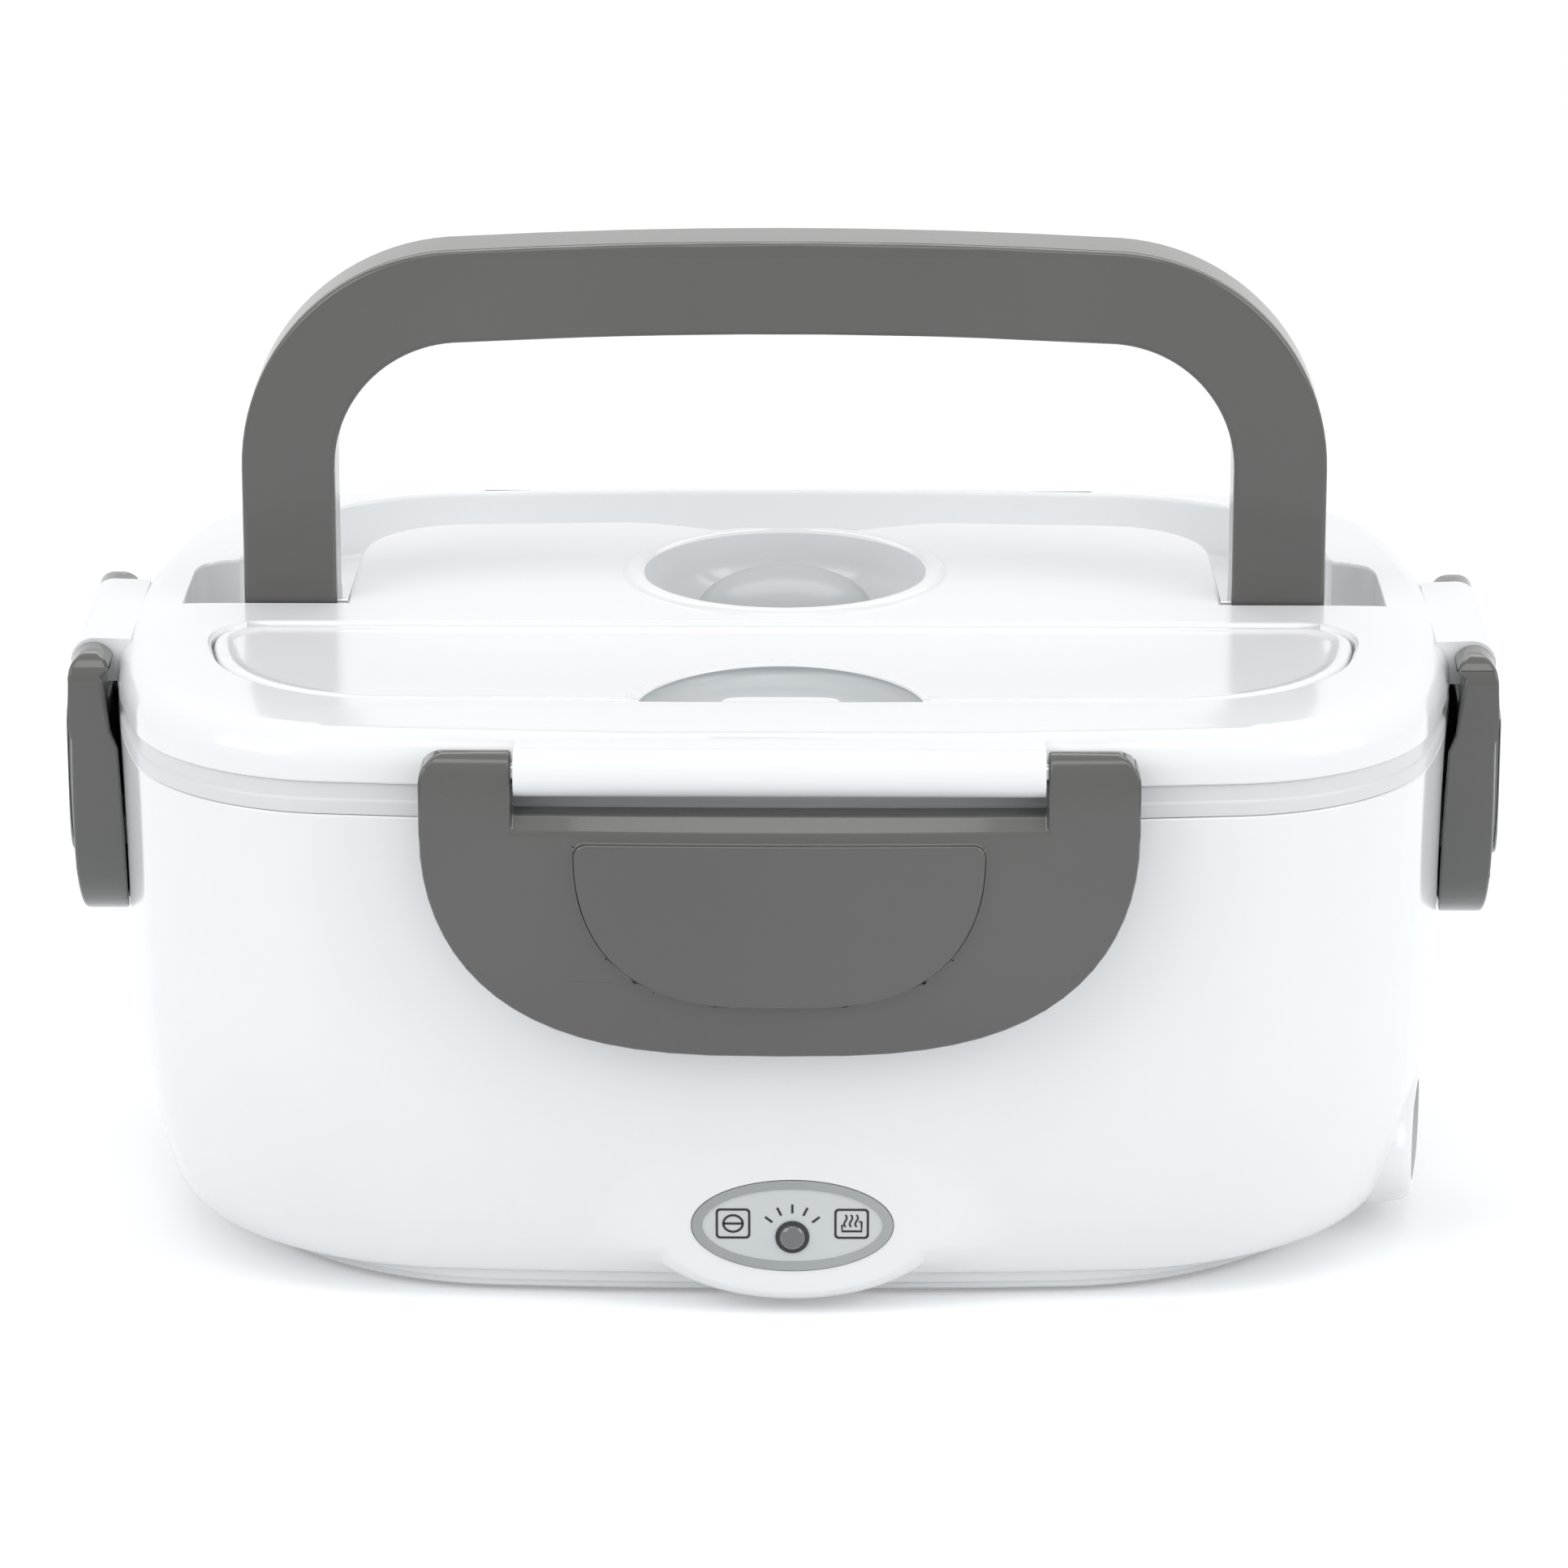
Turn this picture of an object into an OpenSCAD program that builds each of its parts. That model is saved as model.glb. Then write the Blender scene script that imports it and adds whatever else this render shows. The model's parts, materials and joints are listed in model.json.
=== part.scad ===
// Electric lunch box: a heated tub with a lift-out food container, a lid held
// down by four clip latches, a fold-flat carry handle, a spoon bay and a steam vent.
// The origin is on the floor under the middle of the tub. The lamp faces -Y.

/* [Tub] */
// Width of the tub across its rim
body_w = 223; // [215:1:232]
// Depth of the tub across its rim
body_d = 154; // [150:1:160]
// Height of the rim above the floor
rim_z = 85; // [82:0.5:90]
// Plan radius of the four corners
corner_r = 37; // [35:0.5:40]
// Plan radius of the bowed short sides
side_bow_r = 170; // [160:5:200]
// Plan radius of the bowed front and back
front_bow_r = 740; // [700:10:900]
// Thickness of the outer walls
wall = 2.2; // [1.8:0.1:2.6]
// Lean of the walls between rim and foot
draft = 2.7; // [2:0.1:3.4]
// Width of the rounding under the short sides
tuck_side = 10; // [8:0.5:12]
// Width of the rounding under the front and back
tuck_front = 8; // [7:0.5:9]
// Height of that rounding
tuck_h = 45; // [38:1:50]
// Height of the plinth line above the floor
plinth_z = 4.5; // [4:0.1:5.5]
// Set-back of the plinth at the short sides
plinth_in_side = 5; // [3:0.5:6]
// Set-back of the plinth at front and back
plinth_in_front = 1; // [0.6:0.1:2]
// Stand-off of the rubber feet under the base cover
foot_h = 0.8; // [0.6:0.1:1.2]
// Radius of a rubber foot
foot_r = 6; // [5:0.5:8]
// Thickness of the base cover
cover_t = 1.4; // [1.2:0.1:1.8]

/* [Well and container] */
// Height of the top of the well's floor
floor_z = 24.5; // [24:0.5:26]
// Thickness of the well's walls
tub_wall = 1.6; // [1.4:0.1:1.8]
// Set-back of the well's inner face at the rim
nest_in = 4.8; // [4.6:0.1:5.2]
// Lean of the well's wall from rim to floor
nest_draft = 5; // [4:0.5:6]
// Radius between the well's wall and floor
nest_r = 12; // [10:0.5:13]
// Thickness of the food container's wall
cup_wall = 2; // [1.6:0.1:2.2]
// Gap between the container and the well
cup_gap = 0.6; // [0.4:0.1:0.8]
// Height of the container's rim band above the tub
band_h = 4.8; // [4.6:0.1:5.4]

/* [Small box] */
// Length of the small box across the container
dish_l = 104; // [92:1:108]
// Width of the small box
dish_w = 66; // [56:1:70]
// Height of the small box without its lid
dish_h = 46; // [38:1:48]
// Thickness of its walls
dish_t = 1.4; // [1.2:0.1:1.8]

/* [Lid] */
// Height of the lid's top above its lower edge
lid_h = 8.8; // [8.4:0.1:9.4]
// Radius of the lid's shoulder
shoulder_r = 6; // [5:0.25:7]
// Crown of the lid's top over the shoulder
crown = 0.6; // [0.3:0.1:0.9]
// Width of the lid's edge wall
skirt = 3.6; // [3.4:0.1:3.8]
// Thickness of the walls of the lid's recesses
bay_wall = 1.6; // [1.4:0.1:1.7]
// Depth of the lid's recesses below its top
bay_depth = 10.3; // [10:0.1:10.4]
// Thickness of the panel under the lid
liner_t = 1.4; // [1.2:0.1:1.6]

/* [Handle] */
// Half distance between the middles of the legs
grip_half = 83; // [82:0.25:84]
// Width of the grip's section seen from the front
grip_w = 15.6; // [14.6:0.2:16]
// Thickness of the grip from front to back
grip_t = 13; // [12:0.25:13.2]
// Height of the grip's top above the floor when upright
grip_top = 160.8; // [156:0.2:161]
// Bend radius of the grip's middle line
grip_bend = 29.4; // [26:0.2:31]
// Drop of the crowned top bar towards its ends
grip_crown = 1.5; // [1:0.1:2]
// Radius of the pins that the legs turn on
grip_pin_r = 1.5; // [1.2:0.1:1.6]

/* [Latches] */
// Half width of the front and back latches
latch_wide = 57; // [54:0.5:60]
// Half width of the side latches
latch_narrow = 28; // [26:0.5:29]
// Width of an ear beside the wide barrels
ear_wide = 14.6; // [13:0.2:16]
// Width of an ear beside the narrow barrels
ear_narrow = 9.4; // [8.6:0.2:10]
// Drop of the latch's lower edge below its hinge
latch_drop = 46.6; // [45:0.2:48]
// Distance of the hinge outside the lid's edge
pivot_out = 2.8; // [2.8:0.1:3.2]
// Radius of the hinge barrel
barrel_r = 3.9; // [3.7:0.1:4]
// Radius of an ear's round end
lobe_r = 3.5; // [3.2:0.1:3.6]
// Radius of the latch pins
latch_pin_r = 1.5; // [1.2:0.1:1.6]
// Distance of the latch's face outside the hinge
latch_face = 5.2; // [4.8:0.1:5.4]
// Height of the raised panel on the latch's face
panel_t = 0.9; // [0.6:0.1:1.2]
// Height of the catch ribs on the tub
catch_z = 62.6; // [60:0.2:64]

/* [Spoon bay] */
// Half length of the spoon bay
bay_half = 96; // [94:0.5:97]
// Place of the bay's straight rear edge
bay_rear = -12; // [-13:0.25:-11.5]
// Place of the bay's front edge
bay_front = -57; // [-58:0.5:-55]
// Thickness of the spoon bay's cover
lidlet_t = 2; // [1.8:0.1:2.4]
// Half width of the finger notch in the cover
notch_half = 23; // [20:0.5:25]
// Depth of the finger notch
notch_d = 22; // [19:0.5:23]

/* [Steam vent] */
// Place of the vent behind the middle of the lid
vent_y = 19.6; // [19:0.2:20.4]
// Radius of the mouth of the vent well
vent_r = 25.3; // [23:0.1:25.6]
// Radius of the vent plug's dome
plug_r = 13.6; // [12:0.2:14.5]
// Rise of the dome above the well's floor
plug_h = 8.2; // [7:0.2:8.6]
// Radius of the vent hole
hole_r = 3; // [2.4:0.1:3.4]

/* [Heater] */
// Half length of the heating plate
plate_half = 62; // [56:0.5:66]
// Half width of the heating plate
plate_deep = 40; // [36:0.5:42]
// Height of the plate's top over the well's floor
plate_proud = 0.5; // [0.3:0.1:0.7]
// Thickness of the plate's flange
plate_t = 1.4; // [1.2:0.1:1.6]
// Thickness of the heater block
heater_t = 5; // [4:0.25:5.5]

/* [Lamp and power inlet] */
// Place of the lamp bulge to the right of the middle
lamp_x = 2; // [0:0.25:3]
// Height of the lamp bulge's middle
lamp_z = 15.8; // [15.4:0.1:16.4]
// Half width of the badge
badge_w = 16.3; // [15:0.1:17]
// Half height of the badge
badge_h = 7.8; // [7:0.1:8.2]
// Radius of the lamp lens
lens_r = 2.2; // [1.8:0.1:2.6]
// Place of the power inlet along the right side
inlet_y = -26; // [-28:0.5:-22]
// Height of the power inlet's middle
inlet_z = 15; // [14.8:0.1:15.6]
// Half width of the inlet's opening
inlet_w = 11; // [10:0.25:11.5]
// Half height of the inlet's opening
inlet_h = 5.4; // [5:0.1:5.6]
// Depth of the inlet
inlet_d = 13; // [12:0.25:14]

/* [Fits] */
// Clearance between parts that move past each other
play = 0.4; // [0.35:0.01:0.45]
// Clearance of parts that are fixed together
seat = 0.05; // [0.02:0.01:0.08]
// Radial clearance of the pins
pin_play = 0.06; // [0.03:0.01:0.08]

/* [Hidden] */
$fn = 48;

white = [0.94, 0.95, 0.96];
grey = [0.40, 0.40, 0.38];
frosted = [0.88, 0.90, 0.91];
metal = [0.76, 0.77, 0.78];

// Levels, from the floor up
cover_z = foot_h;
tub_foot = cover_z + cover_t;
plate_z = floor_z + plate_proud;
cup_z = plate_z + 0.3;
band_z = rim_z + 0.3;
band_top = band_z + band_h;
lid_z = band_top + 0.3;
lid_top = lid_z + lid_h;
bay_z = lid_top - bay_depth;
liner_z = bay_z - bay_wall - seat - liner_t;
step_z = band_z + 1.5;
cover_top = lid_top - crown * 0.3;
pivot_z = lid_z + barrel_r - 0.1;
half_w = body_w / 2;
half_d = body_d / 2;

// The legs turn on pins near the lid's top, set back so that the grip folds flat.
grip_front = 0.5;
fold_pivot_y = 6.4;
fold_pivot_z = bay_z + 0.4 + grip_front + grip_t - fold_pivot_y;
fold_y = fold_pivot_y + grip_top - fold_pivot_z;
eye_r = fold_pivot_y - grip_front;

// ---------- Plan outlines ----------

// Centre of a corner arc that touches a side arc and a front arc from inside
function corner_mid(a, b, r, rs, rf) =
    let (f = [0, b - rf], s = [a - rs, 0], df = rf - r, ds = rs - r,
         gap = norm(s - f), u = (s - f) / gap,
         k = (df * df - ds * ds + gap * gap) / (2 * gap), h = sqrt(df * df - k * k))
    f + k * u + h * [u[1], -u[0]];

// First quadrant of a bowed oblong: side arc, corner arc, front arc
function quarter(a, b, r, rs, rf, n = 8, m = 2) =
    let (c = corner_mid(a, b, r, rs, rf),
         ts = atan2(c[1], c[0] - a + rs), tf = atan2(c[1] - b + rf, c[0]))
    concat([for (i = [0:m - 1]) [a - rs, 0] + rs * [cos(ts * i / m), sin(ts * i / m)]],
           [for (i = [0:n]) let (t = ts + (tf - ts) * i / n) c + r * [cos(t), sin(t)]],
           [for (i = [1:m]) let (t = tf + (90 - tf) * i / m) [0, b - rf] + rf * [cos(t), sin(t)]]);

// The whole outline, anticlockwise from +X
function mirrored(q) =
    let (n = len(q))
    concat(q, [for (i = [n - 2:-1:0]) [-q[i][0], q[i][1]]],
           [for (i = [1:n - 1]) [-q[i][0], -q[i][1]]],
           [for (i = [n - 2:-1:1]) [q[i][0], -q[i][1]]]);

// Outline of the rim set in by d all round
function rim_line(d) =
    mirrored(quarter(half_w - d, half_d - d, corner_r - d, side_bow_r - d, front_bow_r - d));

function at_z(line, z) = [for (p = line) [p[0], p[1], z]];

// Set-in of the tub's wall at height z, as a share of its tuck
function tuck(z) = 1 - sqrt(1 - pow(min(1, max(0, (tuck_top - z) / tuck_h)), 2.2));
tuck_top = plinth_z + tuck_h;
function lean(z) = draft * (rim_z - z) / rim_z;

// Outline of the tub's wall at height z, set in by d
function tub_line(z, d) =
    let (side = lean(z) + tuck_side * tuck(z), front = 0.75 * lean(z) + tuck_front * tuck(z))
    mirrored(quarter(half_w - side - d, half_d - front - d, corner_r - 0.3 * (side + front) - d,
                     side_bow_r - d, front_bow_r - d));

// Outline of the plinth, set in by d
function plinth_line(d) =
    let (side = lean(plinth_z) + tuck_side + plinth_in_side,
         front = 0.75 * lean(plinth_z) + tuck_front + plinth_in_front)
    mirrored(quarter(half_w - side - d, half_d - front - d, corner_r - 0.3 * (side + front) - d,
                     side_bow_r - d, front_bow_r - d));

// Set-in of the well's inner face at height z over a floor at height low
function nest(z, low) =
    nest_in + nest_draft * (rim_z - z) / (rim_z - low)
    + nest_r * (1 - sqrt(1 - pow(min(1, max(0, (low + nest_r - z) / nest_r)), 2)));

function oblong(a, b, r) = mirrored(quarter(a, b, r, side_bow_r * 4, front_bow_r, 5, 1));

// ---------- Solids from outlines ----------

// Solid skinned through rings that have equal numbers of points
module skin(rings, closed = false) {
    n = len(rings[0]);
    m = len(rings);
    last = closed ? m - 1 : m - 2;
    points = [for (r = rings) each r];
    caps = closed ? [] : [[for (i = [0:n - 1]) i], [for (i = [n - 1:-1:0]) (m - 1) * n + i]];
    sides = [for (k = [0:last], i = [0:n - 1])
        let (k2 = (k + 1) % m, j = (i + 1) % n)
        each [[k * n + i, k2 * n + i, k2 * n + j], [k * n + i, k2 * n + j, k * n + j]]];
    polyhedron(points, concat(caps, sides), convexity = 8);
}

// Round tube along a hand-laid route
module wire(route, r) {
    n = len(route);
    skin([for (i = [0:n - 1])
        let (a = route[max(0, i - 1)], b = route[min(n - 1, i + 1)], t = (b - a) / norm(b - a),
             u = cross(t, [0.31, 0.22, 0.92]) / norm(cross(t, [0.31, 0.22, 0.92])), v = cross(t, u))
        [for (k = [0:7]) route[i] + r * (cos(45 * k) * v - sin(45 * k) * u)]]);
}

// Prism over an outline, from height z up by h
module prism(line, z, h) {
    translate([0, 0, z]) linear_extrude(h) polygon(line);
}

// ---------- Tub ----------

bulge_y = -half_d + 0.75 * lean(24) + tuck_front * tuck(24) - 0.2;
inlet_x = half_w - inlet_y * inlet_y / (2 * side_bow_r) - lean(20) - tuck_side * tuck(20) + 0.6;
inlet_turn = 83;

// Oval swelling whose face looks along -Y, from depth deep to the face at y = 0
module swelling(w, h, deep) {
    skin([for (s = [[deep, 1.16], [4, 1.1], [1.5, 1.05], [0.4, 0.98], [0, 0.92]])
        [for (k = [0:31]) [w * s[1] * cos(11.25 * k), s[0], h * s[1] * sin(11.25 * k)]]]);
}

module at_inlet() {
    translate([inlet_x, inlet_y, inlet_z]) rotate(inlet_turn) children();
}

// Point beside the inlet: u along the wall, d inward
function inlet_spot(u, d) =
    [inlet_x + u * cos(inlet_turn) - d * sin(inlet_turn), inlet_y + u * sin(inlet_turn) + d * cos(inlet_turn),
     inlet_z];

module at_lamp() {
    translate([lamp_x, bulge_y, lamp_z]) children();
}

// The four places round the lid where a latch hangs, wide pair and narrow pair
module at_wide() {
    for (a = [0, 180]) rotate(a) translate([0, -half_d - pivot_out, pivot_z]) children();
}

module at_narrow() {
    for (a = [90, 270]) rotate(a) translate([0, -half_w - pivot_out, pivot_z]) children();
}

// Catch rib under a latch's hook, in the hinge's own place
module catch_rib(half) {
    drop = catch_z - pivot_z;
    rotate([90, 0, 90]) translate([0, 0, -half]) linear_extrude(2 * half)
        polygon([[pivot_out + 3.4, drop - 1.6], [0.6, drop - 1.6], [0.6, drop + 0.6],
                 [2.2, drop + 3], [pivot_out + 3.4, drop + 3]]);
}

catch_wide = 0.5 * latch_wide;
catch_narrow = 0.5 * latch_narrow;
lamp_w = badge_w + 4.8;
lamp_h = badge_h + 5;
boss_w = inlet_w + 9.5;
boss_h = inlet_h + 7.8;
shell_in = 1.8;
rebate = 1.9;

module housing_shell() {
    outer = [5.3, 7, 10, 15, 22, 30, 40, 52, 68];
    inner = [9, 12, 17, 24, 34, 48, 66];
    color(white) difference() {
        union() {
            skin(concat(
                [at_z(plinth_line(0), tub_foot), at_z(plinth_line(0), plinth_z),
                 at_z(tub_line(plinth_z, 0), plinth_z)],
                [for (z = outer) at_z(tub_line(z, 0), z)],
                [at_z(tub_line(rim_z, 0), rim_z)]));
            at_lamp() swelling(lamp_w, lamp_h, 9);
            at_inlet() swelling(boss_w, boss_h, 16);
            at_wide() catch_rib(catch_wide);
            at_narrow() catch_rib(catch_narrow);
        }
        difference() {
            skin(concat(
                [at_z(plinth_line(wall), tub_foot - 5), at_z(plinth_line(wall), plinth_z + wall)],
                [for (z = inner) at_z(tub_line(z, wall), z)],
                [at_z(rim_line(wall + 0.3), rim_z - rebate), at_z(rim_line(1.5), rim_z - rebate),
                 at_z(rim_line(1.5), rim_z + 1)]));
            // posts that carry the lamp's board
            at_lamp() for (x = [-1, 1]) translate([8 * x, board_y - seat, 0]) rotate([90, 0, 0])
                cylinder(h = board_y + 2, r = 1.6);
        }
        // the swellings end at the foot
        translate([-body_w, -body_w, tub_foot - 20]) cube([2 * body_w, 2 * body_w, 20]);
        // hollows behind the two swellings
        at_lamp() difference() {
            translate([0, shell_in, 0]) swelling(lamp_w - 2.6, lamp_h - 2.6, 12);
            for (x = [-1, 1]) translate([8 * x, board_y - seat, 0]) rotate([90, 0, 0])
                cylinder(h = board_y, r = 1.6);
        }
        at_inlet() translate([0, shell_in, 0]) swelling(boss_w - 2.6, boss_h - 2.6, 14);
        // seat of the badge, hole of the lens and opening of the inlet
        at_lamp() rotate([90, 0, 0]) translate([0, 0, -0.6]) linear_extrude(2)
            polygon(oval(badge_w + 0.15, badge_h + 0.15));
        at_lamp() translate([0, 4, -lens_drop]) rotate([90, 0, 0]) cylinder(h = 8, r = lens_r + 0.1);
        at_inlet() translate([0, 3, 0]) rotate([90, 0, 0]) linear_extrude(6)
            polygon(slot_line(inlet_w + 1.3, inlet_h + 1.3));
    }
}

board_y = 7;
lens_drop = 2;
function oval(w, h) = [for (k = [0:47]) [w * cos(7.5 * k), h * sin(7.5 * k)]];

// Rounded slot outline: straight top and bottom, half-round ends
function slot_line(w, h) =
    concat([for (k = [-6:6]) [w - h + h * cos(15 * k), h * sin(15 * k)]],
           [for (k = [6:18]) [h - w + h * cos(15 * k), h * sin(15 * k)]]);

post_x = 74;
post_y = 30;
screw_r = 1.6;
post_r = 4;

module at_posts() {
    for (x = [-1, 1], y = [-1, 1]) translate([x * post_x, y * post_y, 0]) children();
}

tub_under = floor_z - 2;
gasket_t = 0.3;
seat_z = plate_z - plate_t - gasket_t;

module inner_tub() {
    rise = [1.2, 3, 6, nest_r, 24, 42];
    color(white) difference() {
        union() {
            skin(concat(
                [at_z(rim_line(nest(floor_z, floor_z) - tub_wall), tub_under)],
                [for (h = rise) at_z(rim_line(nest(floor_z + h, floor_z) - tub_wall), floor_z + h)],
                [at_z(rim_line(nest_in - tub_wall), rim_z - 1.8), at_z(rim_line(1.6), rim_z - 1.8),
                 at_z(rim_line(1.6), rim_z - 0.2), at_z(rim_line(nest_in), rim_z - 0.2)],
                [for (i = [len(rise) - 1:-1:0]) let (z = floor_z + rise[i])
                    at_z(rim_line(nest(z, floor_z)), z)],
                [at_z(rim_line(nest(floor_z, floor_z)), floor_z)]));
            at_posts() translate([0, 0, tub_foot + seat]) cylinder(h = tub_under - tub_foot, r = post_r);
        }
        at_posts() translate([0, 0, tub_foot - 1]) cylinder(h = 12, r = screw_r - 0.2);
        prism(oblong(plate_half + 0.3, plate_deep + 0.3, 20), seat_z, 9);
        prism(oblong(plate_half - 4, plate_deep - 4, 17), tub_under - 1, 9);
    }
}

foot_x = 66;
foot_y = 44;
head_r = 3;

module base_cover() {
    lip = tub_foot + 2.4;
    color(white) difference() {
        union() {
            prism(plinth_line(0.3), cover_z, cover_t - seat);
            skin([at_z(plinth_line(wall + 0.2), cover_z + 0.5), at_z(plinth_line(wall + 0.2), lip),
                  at_z(plinth_line(wall + 1.8), lip), at_z(plinth_line(wall + 1.8), cover_z + 0.5)],
                 closed = true);
        }
        at_posts() translate([0, 0, cover_z - 1]) cylinder(h = cover_t + 2, r = screw_r + 0.2);
        at_posts() translate([0, 0, cover_z - 1]) cylinder(h = 1.7, r = head_r + 0.2);
        at_feet() translate([0, 0, cover_z - 1]) cylinder(h = 1.4, r = foot_r + 0.1);
    }
}

module base_screws() {
    color(metal) at_posts() difference() {
        union() {
            translate([0, 0, cover_z + 0.1]) cylinder(h = 0.6, r = head_r);
            translate([0, 0, cover_z + 0.5]) cylinder(h = 8, r = screw_r - 0.25);
        }
        translate([0, 0, cover_z]) cylinder(h = 0.45, r = 1.2, $fn = 6);
    }
}

module at_feet() {
    for (x = [-1, 1], y = [-1, 1]) translate([x * foot_x, y * foot_y, 0]) children();
}

module feet() {
    color([0.25, 0.25, 0.25]) at_feet()
        rotate_extrude() polygon([[0, 0], [foot_r - 0.6, 0], [foot_r, 0.5], [foot_r, foot_h + 0.35],
                                  [0, foot_h + 0.35]]);
}

// ---------- Heater ----------

pan_z = plate_z - plate_t - 2.6;

module heating_plate() {
    color(metal) difference() {
        union() {
            prism(oblong(plate_half, plate_deep, 20), plate_z - plate_t, plate_t);
            prism(oblong(plate_half - 5, plate_deep - 5, 16), pan_z, 3);
        }
        // shallow grooves pressed into the top
        for (d = [10, 18]) difference() {
            prism(oblong(plate_half - d, plate_deep - d, 20 - 0.6 * d), plate_z - 0.4, 1);
            prism(oblong(plate_half - d - 1.2, plate_deep - d - 1.2, 19 - 0.6 * d), plate_z - 0.5, 2);
        }
        for (x = [-1, 1]) translate([x * clamp_x, 0, pan_z - 1]) cylinder(h = 3, r = 1.3);
    }
}

module plate_gasket() {
    color([0.8, 0.3, 0.2]) difference() {
        prism(oblong(plate_half, plate_deep, 20), seat_z, gasket_t);
        prism(oblong(plate_half - 3.6, plate_deep - 3.6, 17), seat_z - 1, 3);
    }
}

heater_half = 30;
heater_deep = 13;
clamp_x = 38;
heater_z = pan_z - heater_t;

module ptc_heater() {
    color([0.82, 0.82, 0.8]) difference() {
        translate([-heater_half, -heater_deep, heater_z]) cube([2 * heater_half, 2 * heater_deep, heater_t]);
        // grooves of the extruded case
        for (y = [-9, -3, 3, 9]) translate([-heater_half - 1, y - 0.6, heater_z - 0.1])
            cube([2 * heater_half + 2, 1.2, 0.8]);
    }
}

module heater_clamp() {
    t = 1;
    half = clamp_x + 5;
    color(metal) difference() {
        rotate([90, 0, 0]) translate([0, 0, -6]) linear_extrude(12)
            polygon([[-half, pan_z], [-half, pan_z - t], [-heater_half - 2, pan_z - t],
                     [-heater_half - 1.2, heater_z - t], [heater_half + 1.2, heater_z - t],
                     [heater_half + 2, pan_z - t], [half, pan_z - t], [half, pan_z],
                     [heater_half + 0.9, pan_z], [heater_half + 0.2, heater_z],
                     [-heater_half - 0.2, heater_z], [-heater_half - 0.9, pan_z]]);
        for (x = [-1, 1]) translate([x * clamp_x, 0, pan_z - 3]) cylinder(h = 6, r = 1.5);
    }
}

module clamp_screws() {
    color(metal) for (x = [-1, 1]) translate([x * clamp_x, 0, 0]) difference() {
        union() {
            translate([0, 0, pan_z - 2.8]) cylinder(h = 1.8, r = 2.6);
            translate([0, 0, pan_z - 1.5]) cylinder(h = 3.4, r = 1.25);
        }
        translate([0, 0, pan_z - 3]) cylinder(h = 1, r = 1.1, $fn = 6);
    }
}

stat_x = -12;
stat_y = 24;

module thermostat() {
    color([0.2, 0.2, 0.22]) translate([stat_x, stat_y, 0]) {
        translate([0, 0, pan_z - 6]) cylinder(h = 6, r = 8);
        for (x = [-1, 1]) translate([x * 6 - 0.4, -2.4, pan_z - 11]) cube([0.8, 4.8, 6]);
    }
}

module thermal_fuse() {
    color([0.9, 0.9, 0.86]) translate([-8, -24, pan_z - 2.2]) rotate([0, 90, 0]) {
        cylinder(h = 16, r = 2.2);
        translate([0, 0, -5]) cylinder(h = 26, r = 0.6);
    }
}

pin_end = inlet_d + 3.5;

module heater_wires() {
    low = pan_z - 10;
    mid = heater_z + heater_t / 2;
    color([0.75, 0.15, 0.12]) {
        wire([inlet_spot(4, pin_end + seat), inlet_spot(4, pin_end + 4), [72, -16, low + 1],
              [62, -12, low], [46, 12, low], [16, 23, low], [stat_x + 6.5, stat_y, low]], 0.9);
        wire([inlet_spot(-4, pin_end + seat), inlet_spot(-4, pin_end + 4), [80.5, -23.4, 13.5],
              [72, -22, 12.5], [56, -26, 13], [34, -28, 15], [20, -24.2, pan_z - 2.6],
              [13.1, -24, pan_z - 2.2]], 0.9);
        wire([[stat_x - 6.5, stat_y, low], [-25, 24, low], [-36, 17, low + 2], [-39, 11, mid - 1],
              [-35, 9, mid], [-heater_half - seat, 9, mid]], 0.9);
        wire([[-13.1, -24, pan_z - 2.2], [-20, -24, pan_z - 2.6], [-34, -19, mid], [-39, -11, mid],
              [-35, -9, mid], [-heater_half - seat, -9, mid]], 0.9);
    }
}

// ---------- Power inlet ----------

module inlet_socket() {
    color([0.15, 0.15, 0.16]) at_inlet() difference() {
        union() {
            translate([0, inlet_d + 1.6, 0]) rotate([90, 0, 0]) linear_extrude(inlet_d + 1.2)
                polygon(slot_line(inlet_w + 1.2, inlet_h + 1.2));
            translate([0, 3.8, 0]) rotate([90, 0, 0]) linear_extrude(2)
                polygon(slot_line(inlet_w + 3, inlet_h + 3));
        }
        translate([0, inlet_d, 0]) rotate([90, 0, 0]) linear_extrude(inlet_d + 3)
            polygon(slot_line(inlet_w, inlet_h));
        for (x = [-4, 4]) translate([x, inlet_d + 3, 0]) rotate([90, 0, 0]) cylinder(h = 6, r = 1.2 + seat);
    }
}

module inlet_pins() {
    color(metal) at_inlet() for (x = [-4, 4]) translate([x, inlet_d + 3.5, 0]) rotate([90, 0, 0]) {
        cylinder(h = inlet_d, r = 1.2);
        translate([0, 0, inlet_d]) sphere(r = 1.2);
    }
}

// ---------- Lamp ----------

module lamp_badge() {
    color([0.75, 0.77, 0.78]) at_lamp() difference() {
        translate([0, 0.6 - seat, 0]) rotate([90, 0, 0]) linear_extrude(0.9) polygon(oval(badge_w, badge_h));
        translate([0, 1, -lens_drop]) rotate([90, 0, 0]) cylinder(h = 4, r = lens_r + 0.1);
        translate([0, 0, 0]) rotate([90, 0, 0]) linear_extrude(2)
            polygon(oval(badge_w - 1.7, badge_h - 1.4));
    }
}

module lamp_lens() {
    color([0.3, 0.32, 0.33]) at_lamp() translate([0, 0, -lens_drop]) rotate([90, 0, 0]) {
        rotate_extrude() polygon(concat([[0, -3.1], [lens_r + 0.8, -3.1], [lens_r + 0.8, -1.85], [lens_r, -1.85]],
            [for (k = [0:5]) [lens_r * cos(18 * k), 0.2 + 1.1 * sin(18 * k)]]));
    }
}

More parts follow.
